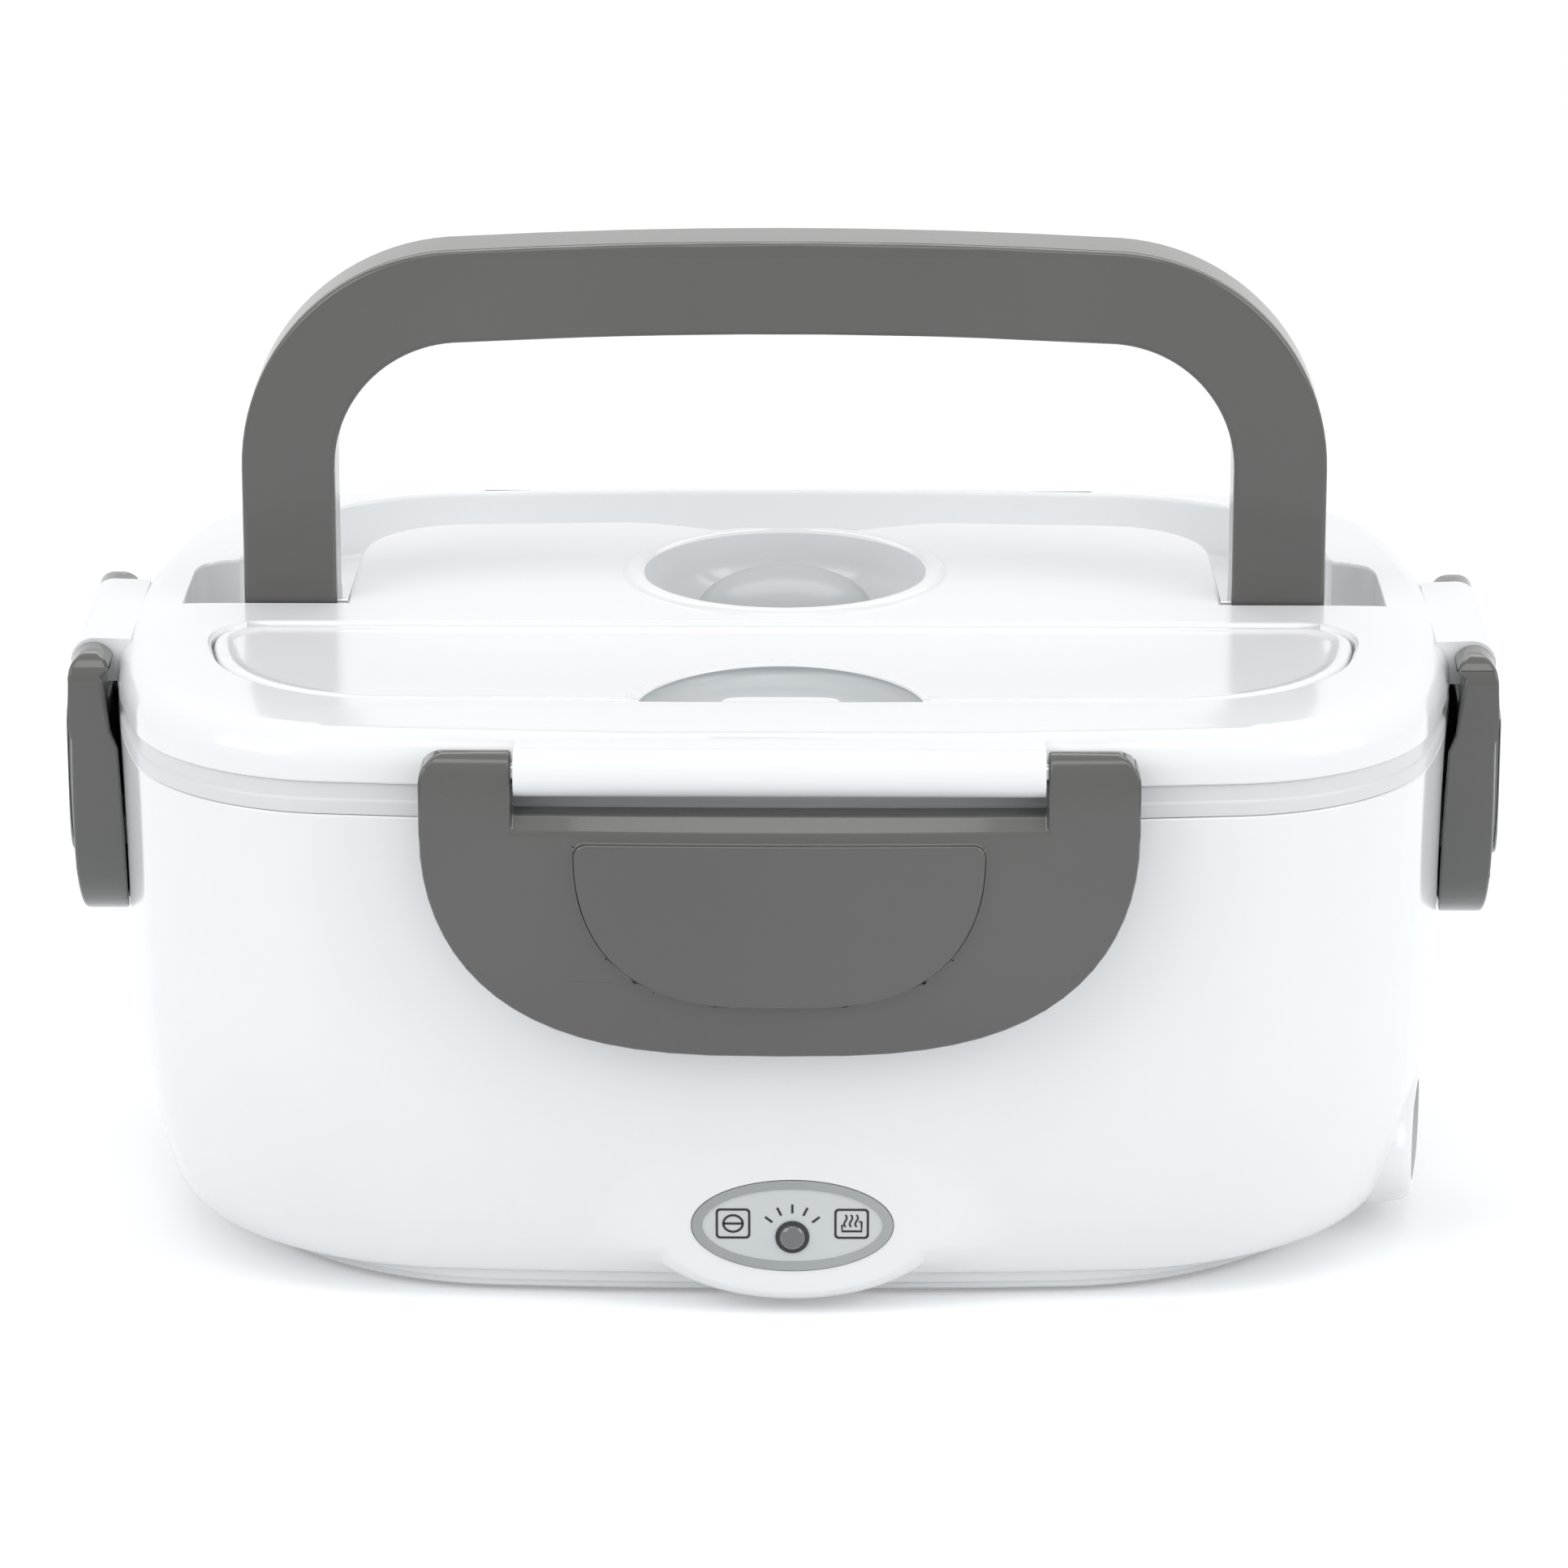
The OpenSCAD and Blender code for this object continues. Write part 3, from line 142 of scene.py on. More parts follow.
def makeFloor():
    bm = bmesh.new()
    bmesh.ops.create_grid(bm, x_segments=4, y_segments=4, size=ground["half"])
    mesh = bpy.data.meshes.new("floor")
    bm.to_mesh(mesh)
    bm.free()
    floor = bpy.data.objects.new("floor", mesh)
    bpy.context.scene.collection.objects.link(floor)
    paint = bpy.data.materials.new("floorPaint")
    paint.use_nodes = True
    tree = paint.node_tree
    tree.nodes.clear()
    new, link = tree.nodes.new, tree.links.new
    diffuse = new("ShaderNodeBsdfDiffuse")
    diffuse.inputs["Color"].default_value = ground["colour"]
    glow = new("ShaderNodeEmission")
    glow.inputs["Color"].default_value = (1, 1, 1, 1)
    glow.inputs["Strength"].default_value = ground["glow"]
    add = new("ShaderNodeAddShader")
    link(diffuse.outputs[0], add.inputs[0])
    lift = new("ShaderNodeMixShader")
    dark = new("ShaderNodeEmission")
    dark.inputs["Strength"].default_value = 0
    link(whiteForRays(tree), lift.inputs[0])
    link(dark.outputs[0], lift.inputs[1])
    link(glow.outputs[0], lift.inputs[2])
    link(lift.outputs[0], add.inputs[1])
    # far from the object the floor fades into the white surround
    where = new("ShaderNodeTexCoord")
    away = new("ShaderNodeVectorMath")
    away.operation = "LENGTH"
    link(where.outputs["Object"], away.inputs[0])
    fade = new("ShaderNodeMapRange")
    fade.inputs["From Min"].default_value = ground["fadeFrom"]
    fade.inputs["From Max"].default_value = ground["fadeTo"]
    link(away.outputs["Value"], fade.inputs["Value"])
    seen = new("ShaderNodeMath")
    seen.operation = "MULTIPLY"
    link(fade.outputs["Result"], seen.inputs[0])
    link(whiteForRays(tree), seen.inputs[1])
    white = new("ShaderNodeEmission")
    both = new("ShaderNodeMixShader")
    link(seen.outputs[0], both.inputs[0])
    link(add.outputs[0], both.inputs[1])
    link(white.outputs[0], both.inputs[2])
    out = new("ShaderNodeOutputMaterial")
    link(both.outputs[0], out.inputs["Surface"])
    mesh.materials.append(paint)


bpy.context.scene.view_settings.view_transform = "Standard"
makeCamera()
makeStudio()
makeFloor()
print("camera, lamps and floor are set")


# ---- finishes ----

def look(colour, rough, coat, grain, bump, vary, metal=0.0, through=0.0):
    # roughness, clear coat, scale and strength of the grain, and drift of the colour
    return {"colour": colour, "rough": rough, "coat": coat, "grain": grain, "bump": bump, "vary": vary,
            "metal": metal, "through": through}


finishes = {
    "glossWhite": look((0.885, 0.897, 0.905), 0.17, 0.25, 900, 0.012, 0.012),
    "satinGrey": look((0.088, 0.088, 0.083), 0.24, 0.5, 1600, 0.06, 0.05),
    "frosted": look((0.83, 0.85, 0.86), 0.3, 0.0, 1200, 0.03, 0.02, through=0.12),
    # the finger dish is the same white plastic as the cover; this grey is painted shade for its hollow
    "dishPaintedShade": look((0.6, 0.625, 0.64), 0.3, 0.1, 900, 0.012, 0.012),
    "siliconeGrey": look((0.44, 0.46, 0.475), 0.34, 0.2, 1400, 0.05, 0.03),
    "ivory": look((0.84, 0.84, 0.8), 0.24, 0.1, 900, 0.02, 0.02),
    "footRubber": look((0.05, 0.05, 0.05), 0.75, 0.0, 1800, 0.2, 0.15),
    "plateMetal": look((0.72, 0.73, 0.74), 0.32, 0.0, 700, 0.05, 0.05, metal=1.0),
    "pinSteel": look((0.62, 0.63, 0.64), 0.28, 0.0, 1500, 0.05, 0.06, metal=1.0),
    "pinBrass": look((0.72, 0.55, 0.25), 0.24, 0.0, 1500, 0.04, 0.05, metal=1.0),
    "badgeRing": look((0.36, 0.38, 0.385), 0.42, 0.0, 5000, 0.12, 0.12, metal=0.3),
    "badgeField": look((0.62, 0.645, 0.655), 0.36, 0.15, 5000, 0.04, 0.03),
    "printInk": look((0.012, 0.012, 0.013), 0.4, 0.0, 4000, 0.02, 0.1),
    "lensSmoke": look((0.13, 0.135, 0.14), 0.12, 1.0, 3000, 0.01, 0.06),
    "boardGreen": look((0.04, 0.19, 0.09), 0.4, 0.3, 1200, 0.05, 0.12),
    "darkMould": look((0.03, 0.03, 0.034), 0.5, 0.0, 1600, 0.08, 0.12),
    "wireRed": look((0.42, 0.05, 0.04), 0.4, 0.0, 1600, 0.05, 0.1),
    "wireDark": look((0.035, 0.035, 0.05), 0.4, 0.0, 1600, 0.05, 0.1),
}
plastic = {"coatRough": 0.06, "ior": 1.48, "drift": 14, "relief": 0.0002}
made = {}


def finish(name):
    if name in made:
        return made[name]
    values = finishes[name]
    paint = bpy.data.materials.new(name)
    paint.use_nodes = True
    tree = paint.node_tree
    new, link = tree.nodes.new, tree.links.new
    shader = tree.nodes["Principled BSDF"]
    shader.inputs["Metallic"].default_value = values["metal"]
    shader.inputs["Coat Weight"].default_value = values["coat"]
    shader.inputs["Coat Roughness"].default_value = plastic["coatRough"]
    shader.inputs["Transmission Weight"].default_value = values["through"]
    shader.inputs["IOR"].default_value = plastic["ior"]
    where = new("ShaderNodeTexCoord")
    broad = new("ShaderNodeTexNoise")
    broad.inputs["Scale"].default_value = plastic["drift"]
    broad.inputs["Detail"].default_value = 3
    fine = new("ShaderNodeTexNoise")
    fine.inputs["Scale"].default_value = values["grain"]
    fine.inputs["Detail"].default_value = 4
    for noise in (broad, fine):
        link(where.outputs["Object"], noise.inputs["Vector"])
    # slow drift of the colour from batch and light, and the mould's own fine grain
    ramp = new("ShaderNodeValToRGB")
    less, more = 1 - values["vary"], 1 + values["vary"]
    ramp.color_ramp.elements[0].position = 0.35
    ramp.color_ramp.elements[1].position = 0.65
    ramp.color_ramp.elements[0].color = (*[c * less for c in values["colour"]], 1)
    ramp.color_ramp.elements[1].color = (*[min(1, c * more) for c in values["colour"]], 1)
    link(broad.outputs["Fac"], ramp.inputs["Fac"])
    link(ramp.outputs["Color"], shader.inputs["Base Color"])
    rough = new("ShaderNodeMapRange")
    rough.inputs["To Min"].default_value = values["rough"] * 0.85
    rough.inputs["To Max"].default_value = values["rough"] * 1.15
    link(fine.outputs["Fac"], rough.inputs["Value"])
    link(rough.outputs["Result"], shader.inputs["Roughness"])
    bump = new("ShaderNodeBump")
    bump.inputs["Strength"].default_value = values["bump"]
    bump.inputs["Distance"].default_value = plastic["relief"]
    link(fine.outputs["Fac"], bump.inputs["Height"])
    link(bump.outputs["Normal"], shader.inputs["Normal"])
    made[name] = paint
    return paint


# ---- mesh tools ----

def ring(bm, points):
    verts = [bm.verts.new(p) for p in points]
    return [bm.edges.new((verts[i - 1], verts[i])) for i in range(len(verts))]


def toObject(bm, name):
    bmesh.ops.remove_doubles(bm, verts=bm.verts, dist=0.0005)
    bmesh.ops.recalc_face_normals(bm, faces=bm.faces)
    mesh = bpy.data.meshes.new(name)
    bm.to_mesh(mesh)
    bm.free()
    piece = bpy.data.objects.new(name, mesh)
    bpy.context.scene.collection.objects.link(piece)
    return piece


def loft(name, rings, closed=False):
    bm = bmesh.new()
    loops = [ring(bm, r) for r in rings]
    pairs = list(zip(loops, loops[1:]))
    if closed:
        pairs.append((loops[-1], loops[0]))
    for a, b in pairs:
        bmesh.ops.bridge_loops(bm, edges=a + b)
    if not closed:
        for end in (loops[0], loops[-1]):
            bmesh.ops.contextual_create(bm, geom=end)
    return toObject(bm, name)


def prism(line, low, high, axis="z"):
    turnTo = {"z": lambda p, h: (p[0], p[1], h), "y": lambda p, h: (p[0], h, p[1]),
              "x": lambda p, h: (h, p[0], p[1])}
    return loft("prism", [[turnTo[axis](p, h) for p in line] for h in (low, high)])


def box(low, high):
    line = [(low[0], low[1]), (high[0], low[1]), (high[0], high[1]), (low[0], high[1])]
    return prism(line, low[2], high[2])


def turned(name, profile, centre, steps=96):
    # profile runs from axis to axis as radius and height; made face by face, so that no two runs differ
    bm = bmesh.new()
    x, y, z = centre
    turns = [2 * math.pi * k / steps for k in range(steps)]
    rings = [[bm.verts.new((x + r * math.cos(t), y + r * math.sin(t), z + h)) for t in turns]
             for r, h in profile[1:-1]]
    for a, b in zip(rings, rings[1:]):
        for k in range(steps):
            bm.faces.new((a[k - 1], a[k], b[k], b[k - 1]))
    for pole, end in ((profile[0], rings[0]), (profile[-1], rings[-1])):
        tip = bm.verts.new((x, y, z + pole[1]))
        for k in range(steps):
            bm.faces.new((end[k - 1], end[k], tip))
    return toObject(bm, name)


def rod(start, end, radius, steps=48):
    a, b = Vector(start), Vector(end)
    along = (b - a).normalized()
    side = along.orthogonal().normalized()
    other = along.cross(side)
    turns = [2 * math.pi * k / steps for k in range(steps)]
    return loft("rod", [[p + radius * (math.cos(t) * side + math.sin(t) * other) for t in turns]
                        for p in (a, b)])


def combine(target, tool, how):
    mod = target.modifiers.new("combine", "BOOLEAN")
    mod.operation = how
    mod.object = tool
    mod.solver = "MANIFOLD"
    graph = bpy.context.evaluated_depsgraph_get()
    mesh = bpy.data.meshes.new_from_object(target.evaluated_get(graph))
    target.modifiers.clear()
    target.data = mesh
    bpy.data.objects.remove(tool)
    return target


def cut(target, *tools):
    for tool in tools:
        combine(target, tool, "DIFFERENCE")
    return target


def join(target, *tools):
    for tool in tools:
        combine(target, tool, "UNION")
    return target


def meet(target, tool):
    return combine(target, tool, "INTERSECT")


def dress(piece, name, body, paint, nodes=(), angle=32, edge=0.0, segments=2, scaled=True,
          flat=0.6):
    # merged, smooth where it curves and crisp where it folds, with a small radius on its edges
    bm = bmesh.new()
    bm.from_mesh(piece.data)
    bmesh.ops.remove_doubles(bm, verts=bm.verts, dist=0.002 if scaled else 0.000002)
    bmesh.ops.dissolve_limit(bm, angle_limit=math.radians(flat), verts=bm.verts, edges=bm.edges)
    for face in bm.faces:
        face.smooth = True
    for line in bm.edges:
        line.smooth = len(line.link_faces) == 2 and line.calc_face_angle(0) < math.radians(angle)
    if scaled:
        bmesh.ops.scale(bm, vec=(millimetre,) * 3, verts=bm.verts)
    bm.to_mesh(piece.data)
    bm.free()
    piece.name = name
    piece.data.name = name
    piece.data.materials.clear()
    piece.data.materials.append(finish(paint))
    if edge:
        soft = piece.modifiers.new("edges", "BEVEL")
        soft.width = edge * millimetre
        soft.segments = segments
        soft.limit_method = "ANGLE"
        soft.angle_limit = math.radians(angle)
        soft.use_clamp_overlap = False
        soft.harden_normals = True
    else:
        soft = piece.modifiers.new("faces", "WEIGHTED_NORMAL")
        soft.keep_sharp = True
    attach(piece, body)
    if nodes:
        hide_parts(*nodes)
    return piece


def smoothCopy(node, paint, angle=32):
    # the solid as it is, its loose triangles merged so that it shades smoothly
    source = frame["nodes"][node]
    piece = bpy.data.objects.new(node + "Skin", source.data.copy())
    bpy.context.scene.collection.objects.link(piece)
    return dress(piece, node + "Skin", source["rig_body"], paint, [node], angle, scaled=False)


# ---- outlines ----
tub = {"halfW": 111.5, "halfD": 77, "rim": 85, "corner": 37, "sideBow": 170, "frontBow": 740,
       "wall": 2.2, "draft": 2.7, "frontDraft": 0.75, "tuckSide": 10, "tuckFront": 8, "tuckHeight": 45,
       "tuckPower": 2.2, "plinth": 4.5, "plinthSide": 5, "plinthFront": 1, "foot": 2.2, "swell": 12,
       "frontSteps": 24, "spread": 1.4}


def arcSteps(start, end, steps):
    # evenly spaced angles, both ends included
    return [start + (end - start) * k / steps for k in range(steps + 1)]


def cornerMid(a, b, r, rs, rf):
    # centre of the corner's arc, which touches the bowed side and the bowed front
    f, s = Vector((0, b - rf)), Vector((a - rs, 0))
    gap = (s - f).length
    u = (s - f) / gap
    k = ((rf - r) ** 2 - (rs - r) ** 2 + gap * gap) / (2 * gap)
    h = math.sqrt((rf - r) ** 2 - k * k)
    return f + k * u + h * Vector((u.y, -u.x))


def quarter(a, b, r, rs, rf, n=20, m=7, ahead=7):
    # first quarter of the outline: bowed side, corner and bowed front
    c = cornerMid(a, b, r, rs, rf)
    ts, tf = math.atan2(c.y, c.x - a + rs), math.atan2(c.y - b + rf, c.x)
    side = [(a - rs + rs * math.cos(ts * i / m), rs * math.sin(ts * i / m)) for i in range(m)]
    corner = [(c.x + r * math.cos(t), c.y + r * math.sin(t)) for t in arcSteps(ts, tf, n)]
    right = math.pi / 2
    turns = [right - (right - tf) * (1 - i / ahead) ** tub["spread"] for i in range(1, ahead + 1)]
    front = [(rf * math.cos(t), b - rf + rf * math.sin(t)) for t in turns]
    return side + corner + front


def mirrored(q):
    n = len(q)
    return (q + [(-q[i][0], q[i][1]) for i in range(n - 2, -1, -1)] + [(-x, -y) for x, y in q[1:]]
            + [(q[i][0], -q[i][1]) for i in range(n - 2, 0, -1)])


def atZ(line, z):
    return [(p[0], p[1], z) for p in line]


def rimLine(d, ahead=7):
    return mirrored(quarter(tub["halfW"] - d, tub["halfD"] - d, tub["corner"] - d, tub["sideBow"] - d,
                            tub["frontBow"] - d, ahead=ahead))


def tuck(z):
    top = tub["plinth"] + tub["tuckHeight"]
    return 1 - math.sqrt(1 - min(1, max(0, (top - z) / tub["tuckHeight"])) ** tub["tuckPower"])


def lean(z):
    return tub["draft"] * (tub["rim"] - z) / tub["rim"]


def wallLine(z, side, front, d):
    corner = tub["corner"] + tub["swell"] * tuck(z) - d
    return mirrored(quarter(tub["halfW"] - side - d, tub["halfD"] - front - d, corner,
                            tub["sideBow"] - d, tub["frontBow"] - d, ahead=tub["frontSteps"]))


def tubLine(z, d):
    return wallLine(z, lean(z) + tub["tuckSide"] * tuck(z),
                    tub["frontDraft"] * lean(z) + tub["tuckFront"] * tuck(z), d)


def plinthLine(d):
    z = tub["plinth"]
    return wallLine(z, lean(z) + tub["tuckSide"] + tub["plinthSide"],
                    tub["frontDraft"] * lean(z) + tub["tuckFront"] + tub["plinthFront"], d)


def oval(w, h, steps=96):
    return [(w * math.cos(t), h * math.sin(t)) for t in [2 * math.pi * k / steps for k in range(steps)]]


def slotLine(w, h):
    right = [(w - h + h * math.cos(t), h * math.sin(t))
             for t in arcSteps(-math.pi / 2, math.pi / 2, 16)]
    return right + [(-x, -y) for x, y in right]


def shiftPiece(piece, move, turn=0.0):
    piece.data.transform(Matrix.Translation(move) @ Matrix.Rotation(math.radians(turn), 4, "Z"))
    return piece


# ---- places of the four clips ----
clip = {"drop": 46.6, "out": 2.8, "pivot": 94.2, "barrel": 3.9, "pinR": 1.56, "lobe": 3.5, "face": 5.2,
        "panel": 0.9, "catch": 62.6, "play": 0.4, "follow": 1.0, "back": 1.9, "flange": 2.6, "bevel": 2.9}
# reach from the middle, half width, width of the ears and bow of the plate
wide = {"reach": tub["halfD"], "half": 57, "ear": 14.6, "bow": 1.8}
narrow = {"reach": tub["halfW"], "half": 28, "ear": 9.4, "bow": 1.9}
# turn about Z, and how much thinner the back one's barrel is
places = {"front": {**wide, "turn": 0, "thin": 0}, "back": {**wide, "turn": 180, "thin": 0.5},
          "right": {**narrow, "turn": 90, "thin": 0}, "left": {**narrow, "turn": 270, "thin": 0}}


def catchRib(place):
    # rib on the tub that the hook grips
    half, back, drop = place["half"] / 2, clip["out"] + 3.4, clip["catch"] - clip["pivot"]
    return prism([(back, drop - 1.6), (0.9, drop - 1.6), (0.6, drop - 1.3), (0.6, drop + 0.4),
                  (2.2, drop + 3), (back, drop + 3)], -half, half, "x")


def hingeBarrel(place):
    half, r = place["half"] - place["ear"] - clip["play"], clip["barrel"] - place["thin"]
    back = clip["out"] + lid["skirt"] - 0.3
    line = [(back, r - 0.2)] + [(-r * math.sin(t), r * math.cos(t)) for t in arcSteps(0, math.pi, 24)]
    return prism(line + [(0.2, 0.3 - r), (back, 0.5 - r)], -half, half, "x")


def toPlace(piece, place):
    # from the pivot's own axes to its place on the rim
    piece.data.transform(Matrix.Translation((0, -place["reach"] - clip["out"], clip["pivot"])))
    return shiftPiece(piece, (0, 0, 0), place["turn"])


def atClips(make):
    return [toPlace(make(place), place) for place in places.values()]


# ---- tub housing ----
lamp = {"x": 2, "z": 15.8, "w": 16.3, "h": 7.8, "lensR": 2.2, "lensDrop": 2, "bulgeW": 23.9,
        "bulgeH": 12.8}
lamp["face"] = -tub["halfD"] + tub["frontDraft"] * lean(24) + tub["tuckFront"] * tuck(24) - 0.2
inlet = {"y": -26, "z": 15, "w": 11, "h": 5.4, "turn": 83}
inlet["x"] = (tub["halfW"] - inlet["y"] ** 2 / (2 * tub["sideBow"]) - lean(20)
              - tub["tuckSide"] * tuck(20) + 0.6)
blend = {"soft": 1.6, "from": 5, "over": 7, "flat": 0.88, "curl": 12}


def swelling(w, h, deep, proud=0.0):
    # oval dome with a flat face that looks along -Y
    steps = [(deep, 1.16), (6, 1.13), (3.4, 1.09), (1.6, 1.045), (0.6, 0.99), (0.2, 0.95), (0, 0.9)]
    return loft("swelling", [[(x, y - proud, z) for x, z in oval(w * s, h * s)] for y, s in steps])


def ease(x):
    x = min(1, max(0, x))
    return x * x * (3 - 2 * x)


def swollen(line, z):
    # above its lower edge the bulge of the badge runs into the wall without a crease
    soft, grow = blend["soft"], ease((z - blend["from"]) / blend["over"])
    points = []
    for x, y in line:
        reach = math.hypot((x - lamp["x"]) / lamp["bulgeW"], (z - lamp["z"]) / lamp["bulgeH"])
        if y < 0 and grow and reach < 2:
            bulge = lamp["face"] + blend["curl"] * max(0, reach - blend["flat"]) ** 2
            near = max(0, soft - abs(y - bulge)) / soft
            y += grow * (min(y, bulge) - near * near * soft / 4 - y)
        points.append((x, y, z))
    return points


def atInlet(piece):
    return shiftPiece(piece, (inlet["x"], inlet["y"], inlet["z"]), inlet["turn"])


def makeHousing():
    foot, rim, plinth, wall = tub["foot"], tub["rim"], tub["plinth"], tub["wall"]
    # fine steps where the bulge of the badge blends in, coarse ones above
    levels = [4.75 + 0.75 * k for k in range(36)] + [33, 36, 40, 46, 53, 62, 72, 80]
    shell = loft("housing", [atZ(plinthLine(0.5), foot), atZ(plinthLine(0), foot + 0.5),
                             atZ(plinthLine(0), plinth - 0.2), atZ(plinthLine(-0.15), plinth),
                             atZ(tubLine(plinth, 0.2), plinth)]
                 + [swollen(tubLine(z, 0), z) for z in levels]
                 + [atZ(tubLine(rim, 0), rim - 0.3), atZ(tubLine(rim, 0.25), rim)])
    where = Vector((lamp["x"], lamp["face"], lamp["z"]))
    lens, through = where - Vector((0, 0, lamp["lensDrop"])), Vector((0, 4, 0))
    join(shell, shiftPiece(swelling(lamp["bulgeW"], lamp["bulgeH"], 9), where),
         atInlet(swelling(inlet["w"] + 5.5, inlet["h"] + 5, 16, 0.5)), *atClips(catchRib))
    ledge = [(wall + 0.3, rim - 1.9), (1.5, rim - 1.9), (1.5, rim + 1)]
    inside = loft("inside", [atZ(plinthLine(wall), foot - 5), atZ(plinthLine(wall), plinth + wall)]
                  + [atZ(tubLine(z, wall), z) for z in (9, 12, 17, 24, 34, 48, 66)]
                  + [atZ(rimLine(d, tub["frontSteps"]), z) for d, z in ledge])
    cut(shell, inside, box((-200, -200, foot - 20), (200, 200, foot)),
        shiftPiece(swelling(lamp["w"] + 2.2, lamp["h"] + 2.4, 12), where + Vector((0, 1.8, 0))),
        atInlet(prism(slotLine(inlet["w"] + 1.3, inlet["h"] + 1.3), -4, 3, "y")),
        atInlet(swelling(inlet["w"] + 3.4, inlet["h"] + 3, 14, -1.8)),
        shiftPiece(prism(oval(lamp["w"] + 0.15, lamp["h"] + 0.15), -1.4, 0.6, "y"), where),
        rod(lens - through, lens + through, lamp["lensR"] + 0.1))
    return dress(shell, "tubHousing", "tub", "glossWhite", ["housing_shell"], 28)


# ---- base cover ----
base = {"low": 0.8, "thick": 1.35, "lip": tub["foot"] + 2.4, "lipGap": 0.2, "lipT": 1.6,
        "post": (74, 30), "screwR": 1.8, "headR": 3.4, "headDeep": 0.7,
        "foot": (66, 44), "footR": 6.1, "footDeep": 0.4}


def makeBaseCover():
    # plate with a rim that stands inside the plinth, holes for its screws and seats for its feet
    low, top = base["low"], base["low"] + base["thick"]
    near, far = tub["wall"] + base["lipGap"], tub["wall"] + base["lipGap"] + base["lipT"]
    plate = loft("baseCover", [atZ(plinthLine(1.6), low), atZ(plinthLine(0.9), low + 0.5),
                               atZ(plinthLine(0.8), top - 0.1), atZ(plinthLine(0.9), top)])
    join(plate, loft("baseRim", [atZ(plinthLine(near), low + 0.5), atZ(plinthLine(near), base["lip"]),
                                 atZ(plinthLine(far), base["lip"]), atZ(plinthLine(far), low + 0.5)],
                     closed=True))
    for x, y in ((-1, -1), (-1, 1), (1, -1), (1, 1)):
        post = (x * base["post"][0], y * base["post"][1])
        foot = (x * base["foot"][0], y * base["foot"][1])
        cut(plate, rod((*post, -1), (*post, 4), base["screwR"]),
            rod((*post, -1), (*post, low + base["headDeep"]), base["headR"]),
            rod((*foot, -1), (*foot, low + base["footDeep"]), base["footR"]))
    return dress(plate, "baseCover", "tub", "glossWhite", ["base_cover"], 28)


makeHousing()
makeBaseCover()
print("tub housing is made")

# ---- food container ----
cup = {"floor": 25.3, "bandLow": 85.06, "bandTop": 90.34, "step": 86.8, "wall": 2, "inset": 4.8,
       "gap": 0.6, "draft": 5, "radius": 12, "dividerX": 8, "dividerT": 1.8, "dividerH": 36}


def nest(z):
    # set-back of the well at height z: a leaning wall on a round foot
    r, low = cup["radius"], cup["floor"]
    return (cup["inset"] + cup["draft"] * (tub["rim"] - z) / (tub["rim"] - low)
            + r * (1 - math.sqrt(1 - min(1, max(0, (low + r - z) / r)) ** 2)))


def makeContainer():
    low, top, band, step, wall = cup["floor"], cup["bandTop"], cup["bandLow"], cup["step"], cup["wall"]
    inner = cup["inset"] + cup["gap"]
    rise = [low + h for h in (0, 0.3, 1.2, 2.2, 3.6, 5.4, 7.6, 12, 24, 42)]
    outside = [atZ(rimLine(nest(z) + cup["gap"]), z) for z in rise]
    inside = [atZ(rimLine(nest(z) + cup["gap"] + wall), z + wall) for z in rise]
    # the band that shows between tub and lid has a fine step halfway up, and the lid's seal sits inside it
    lip = [(inner, band), (0.3, band), (0.05, band + 0.12), (0, band + 0.4), (0, band + 2.1),
           (0.15, band + 2.4), (0.42, band + 2.6), (0.5, band + 2.9), (0.5, top - 0.5), (0.6, top - 0.2),
           (0.85, top), (2.1, top), (2.3, top - 0.15), (2.3, step + 0.2), (2.5, step),
           (inner + wall - 0.4, step), (inner + wall, step - 0.5)]
    pot = loft("container", outside + [atZ(rimLine(d), z) for d, z in lip] + inside[::-1])
    levels = [low + h for h in (1, 1.6, 2.6, 4, 6, 9, 13, 24, cup["dividerH"] - 0.6, cup["dividerH"])]
    edge = [(tub["halfD"] - nest(z) - cup["gap"] - 1, z) for z in levels]
    join(pot, prism(edge + [(-y, z) for y, z in edge[::-1]], cup["dividerX"],
                    cup["dividerX"] + cup["dividerT"], "x"))
    return dress(pot, "foodContainer", "container", "frosted", ["inner_container"], 30)


makeContainer()
print("food container is made")

# ---- lid ----
lid = {"low": 87.3, "edge": 90.4, "top": 99.2, "crown": 0.6, "shoulder": 6, "rearShoulder": 3.4,
       "skirt": 3.6, "floor": 88.9, "wall": 1.6, "recessHalf": 93.4, "recessRear": 73, "recessR": 38.4,
       "pocketX": 101, "pocketY": 25, "plateauHalf": 73.6, "plateauRear": 52.5, "plateauR": 18,
       "dip": 6.5, "dipWide": 28, "dipFlat": 5, "dipSteps": 12, "lipR": 0.9, "filletR": 1.3}
vent = {"y": 19.6, "r": 25.3, "ring": 0.8, "bowl": 6.2, "deep": 7, "holeR": 3}
bay = {"half": 96, "rear": -12, "front": -57, "corner": 31, "r": 9, "tipStart": 2, "tipOut": 0.2,
       "gap": 0.3, "lip": 1.1, "tabHalf": 9.5, "tabDeep": 4.6}
# the cover also gives the thickness of the grey layer that is painted shade in its finger dish
cover = {"top": 99.02, "t": 2, "y": -14.2, "z": 97.32, "r": 1.7, "end": 89, "pinR": 0.9, "pinEnd": 97.5,
         "archHalf": 23, "archDeep": 22, "archPower": 1.2, "dish": 3.4, "dishWall": 1.2, "shadeLayer": 0.5,
         "ledge": 4.4}
grip = {"half": 83, "w": 15.6, "t": 13, "top": 160.8, "bend": 29.4, "bent": 86, "crown": 1.5,
        "pinR": 1.5, "front": 0.5, "frontR": 0.9, "backR": 1.3, "groove": 1.5, "grooveDeep": 0.25,
        "pivotY": 6.4, "pivotZ": 96.4, "eye": 5.9}


